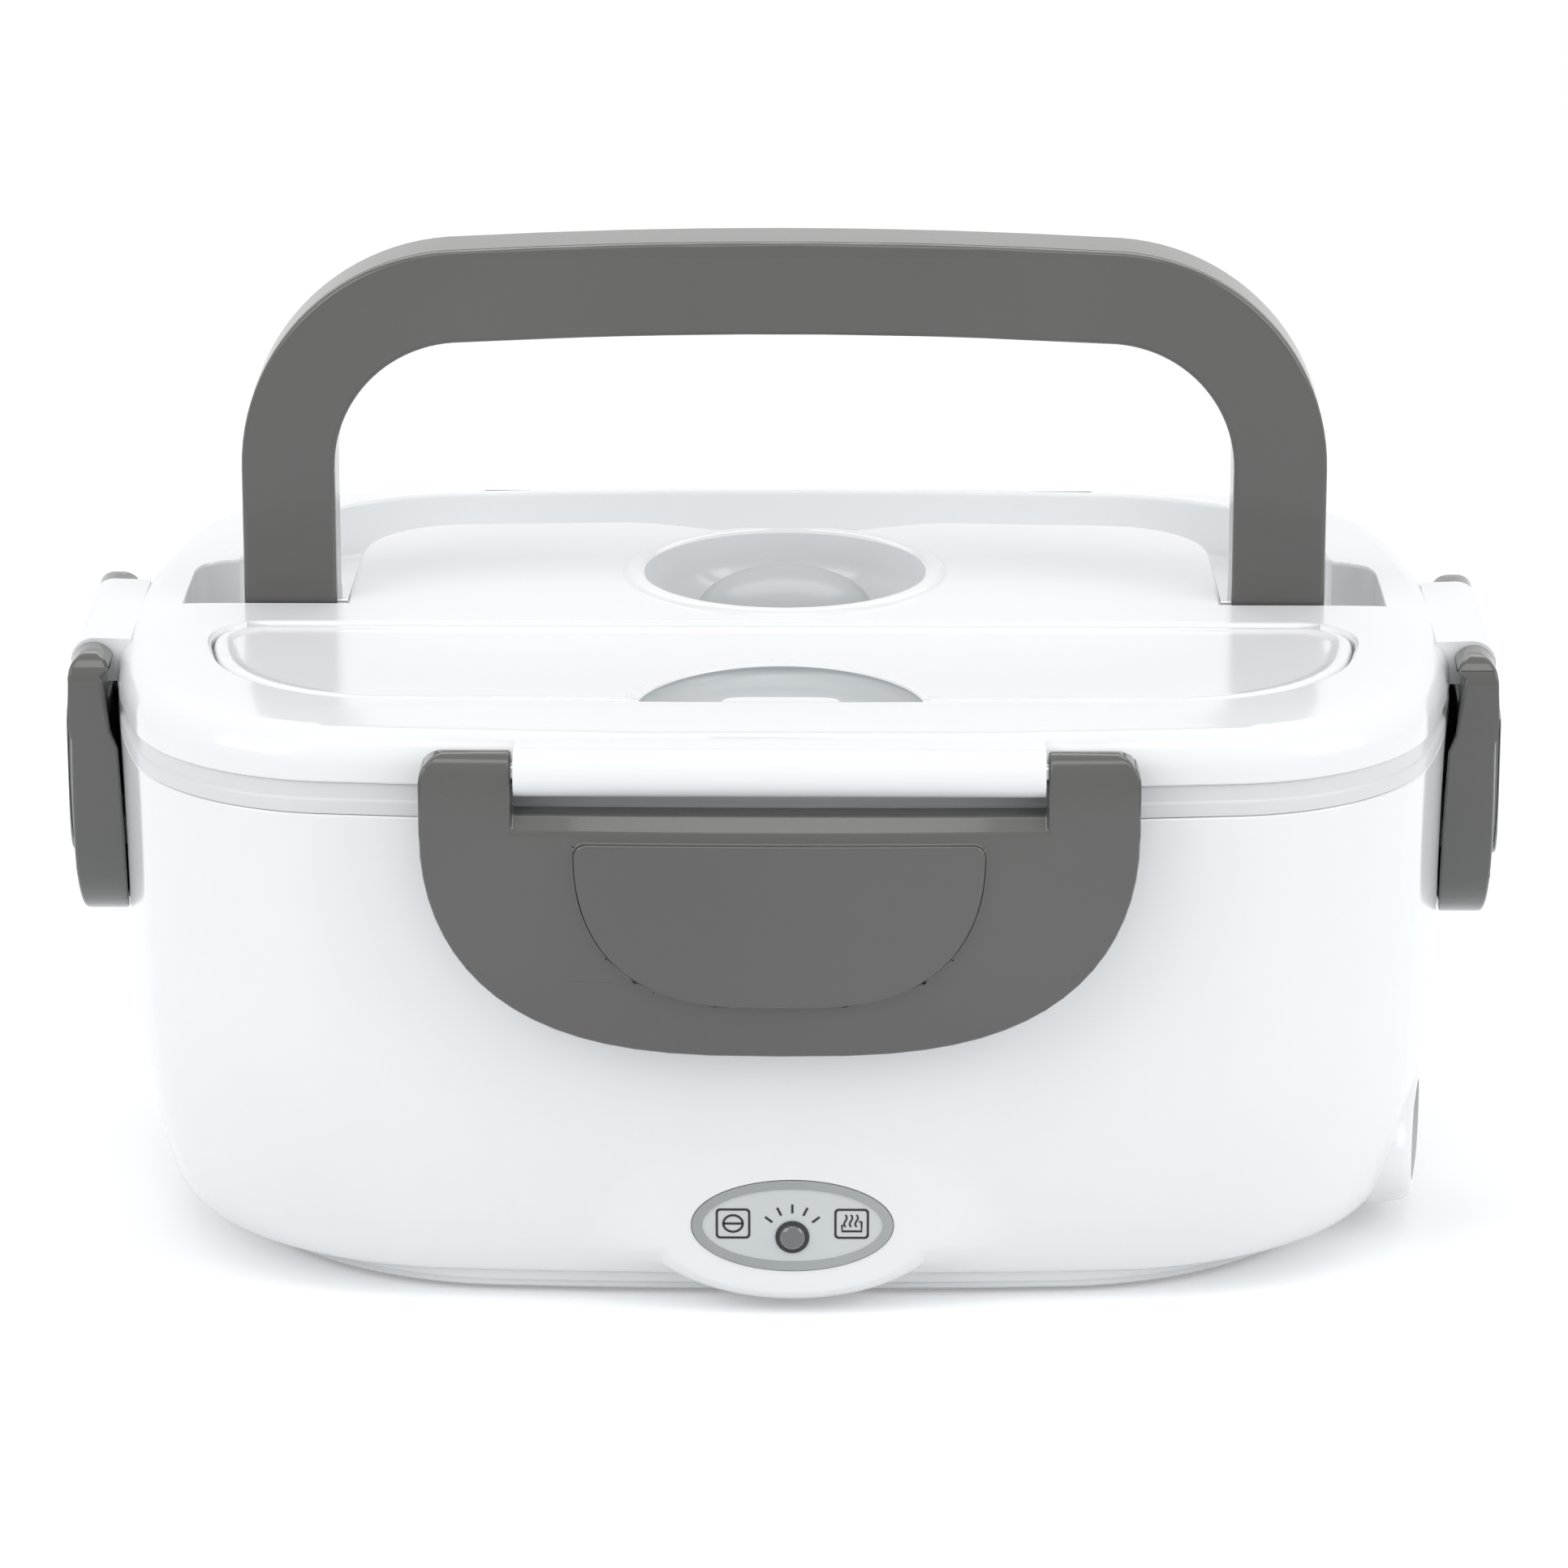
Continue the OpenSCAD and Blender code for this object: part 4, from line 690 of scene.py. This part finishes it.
def recessLine(d):
    # outline of the handle's recess, with a pocket beside each leg
    q = quarter(lid["recessHalf"] + d, lid["recessRear"] + d, lid["recessR"] + d, 4 * tub["sideBow"],
                tub["frontBow"])
    px, py, half = lid["pocketX"] + d, lid["pocketY"], lid["recessHalf"] + d
    right = [(px, -d), (px - 0.3, py - 5 + d), (px - 0.6, py - 3 + d), (px - 1.3, py - 1 + d),
             (px - 2.4, py + d), (px - 4.4, py + 1.2 + d), (half + 0.4, py + 2.2 + d),
             (half, py + 3 + d)]
    right += [p for p in q if p[1] > py + 4 + d]
    return right + [(-x, y) for x, y in right[-2::-1]]


def plateauLine(d):
    # the rear edge swings forward in the middle, for the fingers under the folded grip
    half, rear = lid["plateauHalf"] - d, lid["plateauRear"] - d
    q = quarter(half, rear, lid["plateauR"] - d, 4 * tub["sideBow"], tub["frontBow"])
    span, steps = lid["dipWide"] - lid["dipFlat"], lid["dipSteps"]
    right = [(half, -4)] + [p for p in q if p[1] > 2 and p[0] > lid["dipWide"] + 2]
    for k in range(steps + 1):
        dip = lid["dip"] * math.cos(math.pi / 2 * (1 - k / steps)) ** 2
        right.append((lid["dipWide"] - span * k / steps, rear - 0.6 - dip))
    return right + [(-x, y) for x, y in right[::-1]]


def bayQuarter(d):
    return quarter(bay["half"] - d, -bay["front"] - d, bay["corner"] - d, tub["sideBow"],
                   2.6 * tub["frontBow"], 24, 10)


def bayLine(d):
    # the number of points is the same for every inset, and the tips shrink with it
    back, r = bay["rear"] - d, max(1.2, bay["r"] - d)
    ahead = bay["r"] - bay["rear"] + bay["tipStart"]
    start = next(i for i, p in enumerate(bayQuarter(0)) if p[1] > ahead)
    side = bayQuarter(d)[start:]
    a = side[0][0] + bay["tipOut"]
    right = [(a - r + r * math.cos(t), back - r + r * math.sin(t)) for t in arcSteps(0, math.pi / 2, 8)]
    return (right + [(-x, y) for x, y in right[::-1]] + [(-x, -y) for x, y in side]
            + [(x, -y) for x, y in side[-2::-1]])


def quarterRound(r, steps=4):
    # pairs of set-back and drop round a quarter circle
    return [(r * (1 - math.cos(t)), r * (1 - math.sin(t))) for t in arcSteps(0, math.pi / 2, steps)]


def recessTool():
    floor, top, lip, fillet = lid["floor"], lid["top"], lid["lipR"], lid["filletR"]
    outer = [atZ(recessLine(-e), floor + h) for h, e in quarterRound(fillet)]
    outer += [atZ(recessLine(s), top - h) for s, h in quarterRound(lip)]
    outer += [atZ(recessLine(lip + 0.4), top + 20)]
    return loft("recess", outer)


def plateauTool():
    floor, top, lip, fillet = lid["floor"], lid["top"], lid["lipR"], lid["filletR"]
    rings = [atZ(plateauLine(-fillet), floor - 1)]
    rings += [atZ(plateauLine(-e), floor + h) for h, e in quarterRound(fillet)]
    rings += [atZ(plateauLine(s), top - h) for s, h in quarterRound(lip)]
    rings += [atZ(plateauLine(lip + 0.2), top + 30)]
    return loft("plateau", rings)


def lidRing(d):
    # the shoulder is tighter along the rear edge, and the top stays level there
    line = []
    for x, y in rimLine(d):
        back = ease((y - 25) / 40)
        r = lid["shoulder"] + (lid["rearShoulder"] - lid["shoulder"]) * back
        top = lid["top"] - lid["crown"] * (1 - back)
        line.append((x, y, top - r + math.sqrt(r * r - max(0, r - d) ** 2)))
    return line


def recessWalls(high):
    # the solid round the recess, the bay and the vent well, up to a height
    low, wall, r = lid["low"], lid["wall"], vent["r"] + lid["wall"] - 2
    around = cut(prism(recessLine(wall), low, high), prism(plateauLine(wall), low - 1, high + 4))
    well = turned("well", [(0, low), (r, low), (r, high), (0, high)], (0, vent["y"], 0))
    return [around, prism(bayLine(-wall), low, high), well]


def makeLid():
    low, top, edge, skirt = lid["low"], lid["top"], lid["edge"], lid["skirt"]
    steps = [0.03, 0.15, 0.35, 0.65, 1.05, 1.55, 2.2, 3, 3.9, 4.9, lid["shoulder"]]
    cap = loft("lid", [atZ(rimLine(0.15), edge - 0.01), atZ(rimLine(-0.08), edge + 0.25),
                       atZ(rimLine(-0.1), edge + 0.8), atZ(rimLine(0), edge + 2.2)]
               + [lidRing(d) for d in steps]
               + [atZ(rimLine(12), top - 0.3 * lid["crown"]), atZ(rimLine(20), top)])
    hollow = loft("hollow", [atZ(rimLine(skirt), edge - 1), atZ(rimLine(skirt), edge + 2.4),
                             atZ(rimLine(skirt + 1.4), edge + 5),
                             atZ(rimLine(skirt + 5), top - tub["wall"] - 0.5)])
    cut(hollow, *recessWalls(top + 5))
    for side in (-1, 1):
        boss = Vector((side * (lid["plateauHalf"] - 3), grip["pivotY"], grip["pivotZ"]))
        cut(hollow, rod(boss - Vector((4, 0, 0)), boss + Vector((4, 0, 0)), 3.1))
    cut(cap, hollow)
    # the walls and floors of the recesses hang below the lid's edge
    join(cap, join(*recessWalls(edge + 1)))
    r, raised = vent["r"], top + vent["ring"]
    collar = [(0, top - 3), (r - 2, top - 3), (r + 2.4, top - 0.5), (r + 2.3, top - 0.1),
              (r + 1.9, raised - 0.45), (r + 1.4, raised - 0.15), (r + 0.8, raised), (0, raised)]
    join(cap, turned("ventRing", collar, (0, vent["y"], 0)), *atClips(hingeBarrel))
    groove = [(0.9, edge - 1), (0.9, edge + 1.6), (2.7, edge + 1.6), (2.7, edge - 1)]
    cut(cap, cut(recessTool(), plateauTool()), bayTool(), ventTool(),
        rod((0, vent["y"], low - 9), (0, vent["y"], top), vent["holeR"]),
        loft("sealGroove", [atZ(rimLine(d), z) for d, z in groove], closed=True))
    return dress(cap, "lidShell", "lid", "glossWhite", ["lid_shell"], 34)


def bayTool():
    floor, top, lip, play = lid["floor"], lid["top"], bay["lip"], clip["play"]
    ledge = cover["top"] - cover["t"] - play
    upper = loft("bayTop", [atZ(bayLine(0), ledge)]
                 + [atZ(bayLine(-s), top - h) for s, h in quarterRound(lip)]
                 + [atZ(bayLine(-lip - 0.2), top + 8)])
    lower = loft("bayFloor", [atZ(bayLine(3.0), floor), atZ(bayLine(1.9), floor + 0.4),
                              atZ(bayLine(1.4), floor + 1.6), atZ(bayLine(1.4), ledge + 1)])
    end, r, y, z = cover["end"] + 0.3, cover["r"] + play, cover["y"], cover["z"]
    join(upper, lower, box((-end, y - r, z - r), (end, y + r + 0.1, z + 9)))
    # a rounded tab stands at the front wall, under the notch for the finger
    tab = [(bay["tabHalf"] * math.copysign(abs(math.cos(t)) ** 0.4, math.cos(t)),
            bay["front"] - 1 + bay["tabDeep"] * math.sin(t) ** 0.4) for t in arcSteps(0, math.pi, 24)]
    return cut(upper, prism(tab, floor, top - 0.5))


def ventTool():
    # a well with a bowl-shaped foot, open at the top of the raised ring
    r, flare, bowl = vent["r"] - 8, vent["bowl"], vent["deep"]
    deep = lid["top"] + vent["ring"] - lid["floor"]
    curve = [(r + flare * math.sin(t), bowl * (1 - math.cos(t))) for t in arcSteps(0, math.pi / 2, 12)]
    lip = [(r + flare + 0.5 * k, bowl + (deep - bowl - 0.6) * k) for k in (0.5, 1)]
    lip += [(r + 7.2, deep - 0.25), (r + 7.9, deep), (r + 8.3, deep + 2), (0, deep + 2)]
    return turned("vent", [(0, 0)] + curve + lip, (0, vent["y"], lid["floor"]))


makeLid()
print("lid is made")

# ---- steam vent plug ----
plug = {"r": 15.2, "h": 10.5, "foot": 3, "low": 84.05, "fit": 0.3}


def makePlug():
    # stem through the floor, thin flange and a dome
    low, floor, r, foot = plug["low"], lid["floor"], plug["r"], plug["foot"]
    stem, seat = vent["holeR"] - plug["fit"], floor + plug["fit"]
    profile = [(0, low), (stem - 0.5, low), (stem, low + 0.8), (stem, seat), (r + 0.9, seat),
               (r + 1.1, floor + 0.5), (r + 1.1, floor + 1.0), (r + 0.9, floor + 1.25),
               (r + 0.5, floor + 1.6), (r + 0.15, floor + 2.2)]
    profile += [(r * math.cos(t), floor + foot + (plug["h"] - foot) * math.sin(t))
                for t in arcSteps(0, math.pi / 2, 16)[:-1]]
    profile += [(0, floor + plug["h"])]
    return dress(turned("plug", profile, (0, vent["y"], 0)), "ventPlug", "vent", "siliconeGrey",
                 ["vent_plug"], 40)


makePlug()


# ---- cover of the spoon bay ----

def archLine(d, foot, ahead=0.0):
    # arch of the finger notch, on a foot line ahead of the cover's front edge
    half, deep = cover["archHalf"] + d, cover["archDeep"] + d + ahead
    return [(half * math.cos(t), foot + deep * math.sin(t) ** cover["archPower"])
            for t in arcSteps(0, math.pi, 48)]


def scoop(d, low):
    # finger dish: an arch whose wall is hollow under a rounded lip
    top, foot = cover["top"], bay["front"] + bay["gap"] - 1
    rings = [(-3.6, low), (-1.8, low + 0.2), (-0.5, low + 0.65), (0.4, low + 1.2), (0.8, low + 1.8),
             (0.85, low + 2.2), (0.6, top - 0.75), (0.2, top - 0.5)]
    rings += [(0.02 + s, top - h) for s, h in quarterRound(0.4)] + [(0.42, top + 1)]
    return loft("scoop", [atZ(archLine(s + d, foot), z) for s, z in rings])


def archBead(d):
    # rounded edge that leads round the finger dish
    top, foot = cover["top"], bay["front"] - 1
    bead = [(3.4, top - 1.4), (3.2, top - 0.46), (2.5, top - 0.38), (1.9, top - 0.2), (1.3, top - 0.04),
            (0.8, top)]
    ridge = loft("archBead", [atZ(archLine(s, foot, 1), z) for s, z in bead])
    return meet(ridge, prism(bayLine(d), top - 3, top + 3))


def makeBayCover():
    top, low, gap = cover["top"], cover["top"] - cover["t"], bay["gap"]
    end, pinEnd, y, z = cover["end"], cover["pinEnd"], cover["y"], cover["z"]
    # a rounded bead runs round the cover, and the panel lies a little below it
    bead = [(0.3, low), (0.1, low + 0.3), (0.1, top - 1.3), (0.25, top - 0.8), (0.6, top - 0.35),
            (1.1, top - 0.08), (1.7, top), (2.3, top - 0.06), (2.9, top - 0.26), (3.4, top - 0.42),
            (4.0, top - 0.48), (5.0, top - 0.5)]
    flap = loft("cover", [atZ(bayLine(gap + d), h) for d, h in bead])
    cut(flap, box((-120, y, low - 5), (120, y + 60, low + 20)))
    join(flap, archBead(gap + 0.9), rod((-end, y, z), (end, y, z), cover["r"]),
         rod((-pinEnd, y, z), (pinEnd, y, z), cover["pinR"]),
         box((-60, -30, low - 1.2), (60, -28.6, low + 0.4)))
    # the finger dish gets a thin layer painted grey as painted shade in its hollow, and the cover leaves
    # room for that layer
    floor, ahead, shadeLayer = top - cover["dish"], bay["front"] + cover["ledge"], cover["shadeLayer"]
    cut(flap, scoop(0, floor),
        meet(scoop(shadeLayer, floor), box((-30, ahead, low - 5), (30, -20, top - 0.55))))
    dish = meet(scoop(shadeLayer, floor - cover["dishWall"]),
                box((-30, ahead + 0.02, low - 5), (30, -20, top - 0.57)))
    cut(dish, scoop(0, floor))
    # this layer carries only painted shade; the dish itself is white plastic like the cover
    dress(dish, "fingerDishShade", "bay_cover", "dishPaintedShade", (), 34)
    return dress(flap, "spoonBayCover", "bay_cover", "glossWhite", ["spoon_cover"], 34)


makeBayCover()
print("spoon bay cover is made")


# ---- handle ----

def gripRoute():
    # middle of the bar as x, z and slope: leg, bend, and a bar that crowns slightly
    r, crown, bendX = grip["bend"], grip["crown"], grip["half"] - grip["bend"]
    barZ = grip["top"] - grip["w"] / 2
    bendZ = barZ - crown - r
    right = [(grip["half"], grip["pivotZ"] - 1, 0), (grip["half"], bendZ - 12, 0)]
    right += [(bendX + r * math.cos(t), bendZ + r * math.sin(t), t)
              for t in arcSteps(0, math.radians(grip["bent"]), 24)]
    right += [(bendX * x, barZ - crown * x * x, math.radians(90 - 3.4 * x))
              for x in [k / 8 for k in range(7, 0, -1)]]
    return right + [(0, barZ, math.pi / 2)] + [(-x, z, math.pi - t) for x, z, t in right[::-1]]


def gripSection():
    # rounded edges, with the parting groove of the two mouldings behind the front edge
    a, b, front, back = grip["w"] / 2, grip["t"] / 2, grip["frontR"], grip["backR"]
    groove, deep = grip["groove"] - grip["t"] / 2, grip["grooveDeep"]
    arc = arcSteps(0, math.pi / 2, 5)
    right = [(a - front + front * math.sin(t), -b + front * (1 - math.cos(t))) for t in arc]
    right += [(a, groove - 0.22), (a - deep, groove - 0.14), (a - deep, groove + 0.14), (a, groove + 0.22)]
    right += [(a - back + back * math.cos(t), b - back + back * math.sin(t)) for t in arc]
    return right + [(-x, y) for x, y in right[::-1]]


def makeGrip():
    mid = grip["front"] + grip["t"] / 2
    section = gripSection()
    bar = loft("grip", [[(x + u * math.cos(t), mid + v, z + u * math.sin(t)) for u, v in section]
                        for x, z, t in gripRoute()])
    w, eye, y, z = grip["w"], grip["eye"], grip["pivotY"], grip["pivotZ"]
    far = grip["t"] - 2 * eye
    down = 1.5 * math.pi
    foot = [(y + eye * math.cos(t), z + eye * math.sin(t)) for t in arcSteps(math.pi, down, 12)]
    foot += [(y + far + eye * math.cos(t), z + eye * math.sin(t)) for t in arcSteps(down, 2 * math.pi, 12)]
    foot += [(y + far + eye, z + 2), (y - eye + 0.01, z + 2)]
    legs = [-grip["half"], grip["half"]]
    join(bar, *[prism(foot, x - w / 2, x + w / 2, "x") for x in legs])
    # blind bores from the inner side of each leg
    cut(bar, *[rod((x - math.copysign(8.2, x), y, z), (x + math.copysign(6.6, x), y, z),
                   grip["pinR"] + 0.06) for x in legs])
    return dress(bar, "carryHandle", "handle", "satinGrey", ["handle_grip"], 30)


makeGrip()
print("handle is made")


# ---- clip latches ----

def power(v, n):
    return math.copysign(abs(v) ** n, v)


def clipLine(w, top, low, r, start):
    # outline from the front: round upper corners and a deep belly below the start line
    right = [(w - r + r * math.cos(t), top - r + r * math.sin(t)) for t in arcSteps(0, math.pi / 2, 8)]
    belly = [(w * power(math.cos(t), 0.67), start + (start - low) * power(math.sin(t), 0.91))
             for t in arcSteps(math.pi, 2 * math.pi, 36)]
    return right + [(-x, z) for x, z in right[::-1]] + belly


def clipSection(lobe):
    # from the side, as depth with outward negative, and height: the face curls in towards its lower edge
    back, deep, drop, face = clip["back"], clip["flange"], clip["drop"], clip["face"]
    side = [(back, 0), (back, -9.4), (deep, -12.5), (deep + clip["follow"], -drop)]
    side += [(0.06 - face + 1.9 * (k / 12) ** 2.2, -24 - (drop - 24) * k / 12) for k in range(12, 0, -1)]
    side += [(-face, -22), (0.03 - face, -16), (0.12 - face, -11), (0.5 - face, -6), (-lobe * 0.98, 0.6)]
    return side + [(-lobe * math.cos(t), lobe * math.sin(t))
                   for t in arcSteps(math.radians(15), math.radians(165), 12)]


def bowed(body, w, sag):
    # the plate bows along with the wall behind it, its hinge stays straight
    bm = bmesh.new()
    bm.from_mesh(body.data)
    for k in range(-4, 5):
        bmesh.ops.bisect_plane(bm, geom=bm.verts[:] + bm.edges[:] + bm.faces[:],
                               plane_co=(w * k / 5, 0, 0), plane_no=(1, 0, 0))
    for v in bm.verts:
        bow = sag * (v.co.x / w) ** 2 * ease((-2 - v.co.z) / 8)
        v.co.y *= 1 - bow / clip["face"] if v.co.y < 0 else 1 + bow / clip["flange"]
    bmesh.ops.remove_doubles(bm, verts=bm.verts, dist=0.2)
    bm.to_mesh(body.data)
    bm.free()
    return body


def makeClip(place):
    w, lobe, face, drop = place["half"], clip["lobe"] - place["thin"], clip["face"], clip["drop"]
    gap, blind, hook, panel = w - place["ear"], w - 1.4, 0.48 * w, 0.572 * w
    catch, barTop, bevel = clip["catch"] - clip["pivot"], -clip["barrel"] - 2.4, clip["bevel"]
    body = meet(prism(clipLine(w, lobe, -drop, min(4.6, lobe + 1.1), -9.2), -20, 20, "y"),
                prism(clipSection(lobe), -w - 1, w + 1, "x"))
    # the gap between the ears, the bevel along it, and the hollow back
    cut(body, box((-gap, -20, barTop), (gap, 20, barTop + 40)),
        prism([(bevel - face, barTop), (bevel - face, barTop + 1), (-1 - face, barTop + 1),
               (-1 - face, barTop - bevel - 1)], -gap, gap, "x"),
        prism(clipLine(w - 2, barTop - 2.2, 2 - drop, 2.4, -11.2), 2.2 - face, 20, "y"))
    # the raised panel and the hook
    join(body, prism(clipLine(panel, barTop - 4.2, 9.1 - drop, 2, barTop - 6.4),
                     0.1 - face - clip["panel"], 0, "y"),
         prism([(2.3, catch - 2), (2.3, catch - 3.4), (1, catch - 4.6), (1.6 - face, catch - 5.6),
                (1.6 - face, catch - 2)], -hook, hook, "x"))
    cut(body, prism(clipLine(panel - 2, barTop - 6.2, catch - 1.8, 2, catch + 8), 2.4 - face, 0.5, "y"),
        rod((-blind, 0, 0), (blind, 0, 0), clip["pinR"]))
    return bowed(body, w, place["bow"])


for side in ("front", "back", "left", "right"):
    piece = toPlace(makeClip(places[side]), places[side])
    dress(piece, side + "Clip", side + "_clip", "satinGrey", ["latch_" + side], 30, edge=0.55,
          segments=3, flat=0.02)
print("four clips are made")

# ---- badge, lamp and signs ----
badge = {"ring": 1.65, "squash": 0.92, "line": 0.36, "signW": 5.6, "signH": 5.2, "signX": 9.6,
         "signZ": 0.3, "inkLow": -0.09, "inkHigh": 0.1, "collar": 2.75, "collarHole": 2.1}


def flatRing(outer, inner, low, high):
    # outlines are in the plane of the badge
    return cut(prism(outer, low, high, "y"), prism(inner, low - 1, high + 1, "y"))


def printed(outer, inner=None):
    # a printed shape or a printed ring
    low, high = badge["inkLow"], badge["inkHigh"]
    return flatRing(outer, inner, low, high) if inner else prism(outer, low, high, "y")


def roundedLine(w, h, r, steps=6):
    corners = [(w - r, h - r, 0), (r - w, h - r, 1), (r - w, r - h, 2), (w - r, r - h, 3)]
    return [(x + r * math.cos(t), z + r * math.sin(t)) for x, z, q in corners
            for t in [math.pi / 2 * (q + k / steps) for k in range(steps + 1)]]


def strokeLine(points, width):
    # outline of a pen stroke with the given width along points
    left, right = [], []
    for i, p in enumerate(points):
        a, b = points[max(0, i - 1)], points[min(len(points) - 1, i + 1)]
        n = Vector((a[1] - b[1], b[0] - a[0])).normalized() * width / 2
        left.append((p[0] + n.x, p[1] + n.y))
        right.append((p[0] - n.x, p[1] - n.y))
    return left + right[::-1]


def makeSigns():
    w, h, line = badge["signW"] / 2, badge["signH"] / 2, badge["line"]
    left, right = [(side * badge["signX"], 0, badge["signZ"]) for side in (-1, 1)]
    # both signs are framed: a ring with a bar at the left, a steaming cup at the right
    signs = [shiftPiece(printed(roundedLine(w, h, 0.7), roundedLine(w - line, h - line, 0.45)), spot)
             for spot in (left, right)]
    signs.append(shiftPiece(printed(oval(1.75, 1.6, 40), oval(1.75 - line, 1.6 - line, 40)), left))
    signs.append(shiftPiece(printed(roundedLine(1.6, line / 2, line / 2 * 0.6)), left))
    mug = [(-1.55, -0.2), (-1.55, -1.3), (1.6, -1.3), (1.6, 0.35), (1.2, 0.35)]
    signs.append(shiftPiece(printed(strokeLine(mug, line)), right))
    for k in (-1, 0, 1):
        wisp = [(0.9 * k - 0.1 + 0.22 * math.sin(2 * math.pi * s / 12), 1.55 - 2.1 * s / 12)
                for s in range(13)]
        signs.append(shiftPiece(printed(strokeLine(wisp, line * 0.8)), right))
    # five short rays over the lamp say that it lights
    for angle in (-52, -26, 0, 26, 52):
        t = math.radians(angle)
        ray = [(r * math.sin(t), -lamp["lensDrop"] + r * math.cos(t)) for r in (4.1, 5.6)]
        signs.append(printed(strokeLine(ray, line)))
    first = signs[0]
    bm = bmesh.new()
    for piece in signs:
        bm.from_mesh(piece.data)
        if piece is not first:
            bpy.data.objects.remove(piece)
    bm.to_mesh(first.data)
    bm.free()
    return first


def makeBadge():
    w, h, drop = lamp["w"], lamp["h"], Vector((0, 0, lamp["lensDrop"]))
    where = Vector((lamp["x"], lamp["face"], lamp["z"]))
    innerW, innerH = w - badge["ring"], h - badge["ring"] * badge["squash"]
    border = flatRing(oval(w, h), oval(innerW, innerH), -0.28, 0.5)
    dress(shiftPiece(border, where), "badgeRing", "tub", "badgeRing", (), 40, edge=0.12)
    r = lamp["lensR"]
    hole = shiftPiece(prism(oval(r + 0.45, r + 0.45, 48), -2, 2, "y"), -drop)
    field = cut(prism(oval(innerW + 0.02, innerH + 0.02), -0.02, 0.5, "y"), hole)
    dress(shiftPiece(field, where), "badgeField", "tub", "badgeField", ["lamp_badge"], 40)
    dress(shiftPiece(makeSigns(), where), "badgeSigns", "tub", "printInk", (), 40)
    outer, inner = badge["collar"], badge["collarHole"]
    collar = flatRing(oval(outer, outer, 64), oval(inner, inner, 64), -0.34, 0.2)
    dress(shiftPiece(collar, where - drop), "lampCollar", "tub", "darkMould", (), 40, edge=0.12)
    profile = [(0, -3.1), (r + 0.8, -3.1), (r + 0.8, -1.85), (r - 0.05, -1.85)]
    profile += [((r - 0.05) * math.cos(t), 0.2 + 1.1 * math.sin(t))
                for t in arcSteps(0, math.pi / 2, 12)[:-1]]
    dome = turned("lens", profile + [(0, 1.3)], (0, 0, 0), 48)
    dome.data.transform(Matrix.Rotation(math.radians(90), 4, "X"))
    dress(shiftPiece(dome, where - drop), "lampLens", "tub", "lensSmoke", ["lamp_lens"], 40)


makeBadge()
print("badge and lamp are made")

# ---- the solids that stay as they are ----
skins = {"inner_tub": ("glossWhite", "white_shell"), "dish_box": ("frosted", "frosted"),
         "dish_lid": ("frosted", "frosted"), "spoon": ("ivory", "ivory"),
         "inlet_socket": ("darkMould", "dark_plastic"), "heating_plate": ("plateMetal", "plate"),
         "lid_liner": ("glossWhite", "white_shell"), "feet": ("footRubber", "rubber"),
         "lid_seal": ("siliconeGrey", "silicone"), "inlet_pins": ("pinBrass", "brass")}
for node, (paint, slot) in skins.items():
    smoothCopy(node, paint)
kept = {"base_screws": "pinSteel", "plate_gasket": "siliconeGrey", "ptc_heater": "plateMetal",
        "heater_clamp": "pinSteel", "clamp_screws": "pinSteel", "thermostat": "darkMould",
        "thermal_fuse": "pinSteel", "heater_wires": "wireRed", "lamp_board": "boardGreen",
        "lamp_wires": "wireDark", "handle_pins": "pinSteel", "latch_pins_long": "pinSteel",
        "latch_pins_short": "pinSteel"}
for node, paint in kept.items():
    for place in frame["nodes"][node].material_slots:
        place.material = finish(paint)
print("kept solids are dressed")
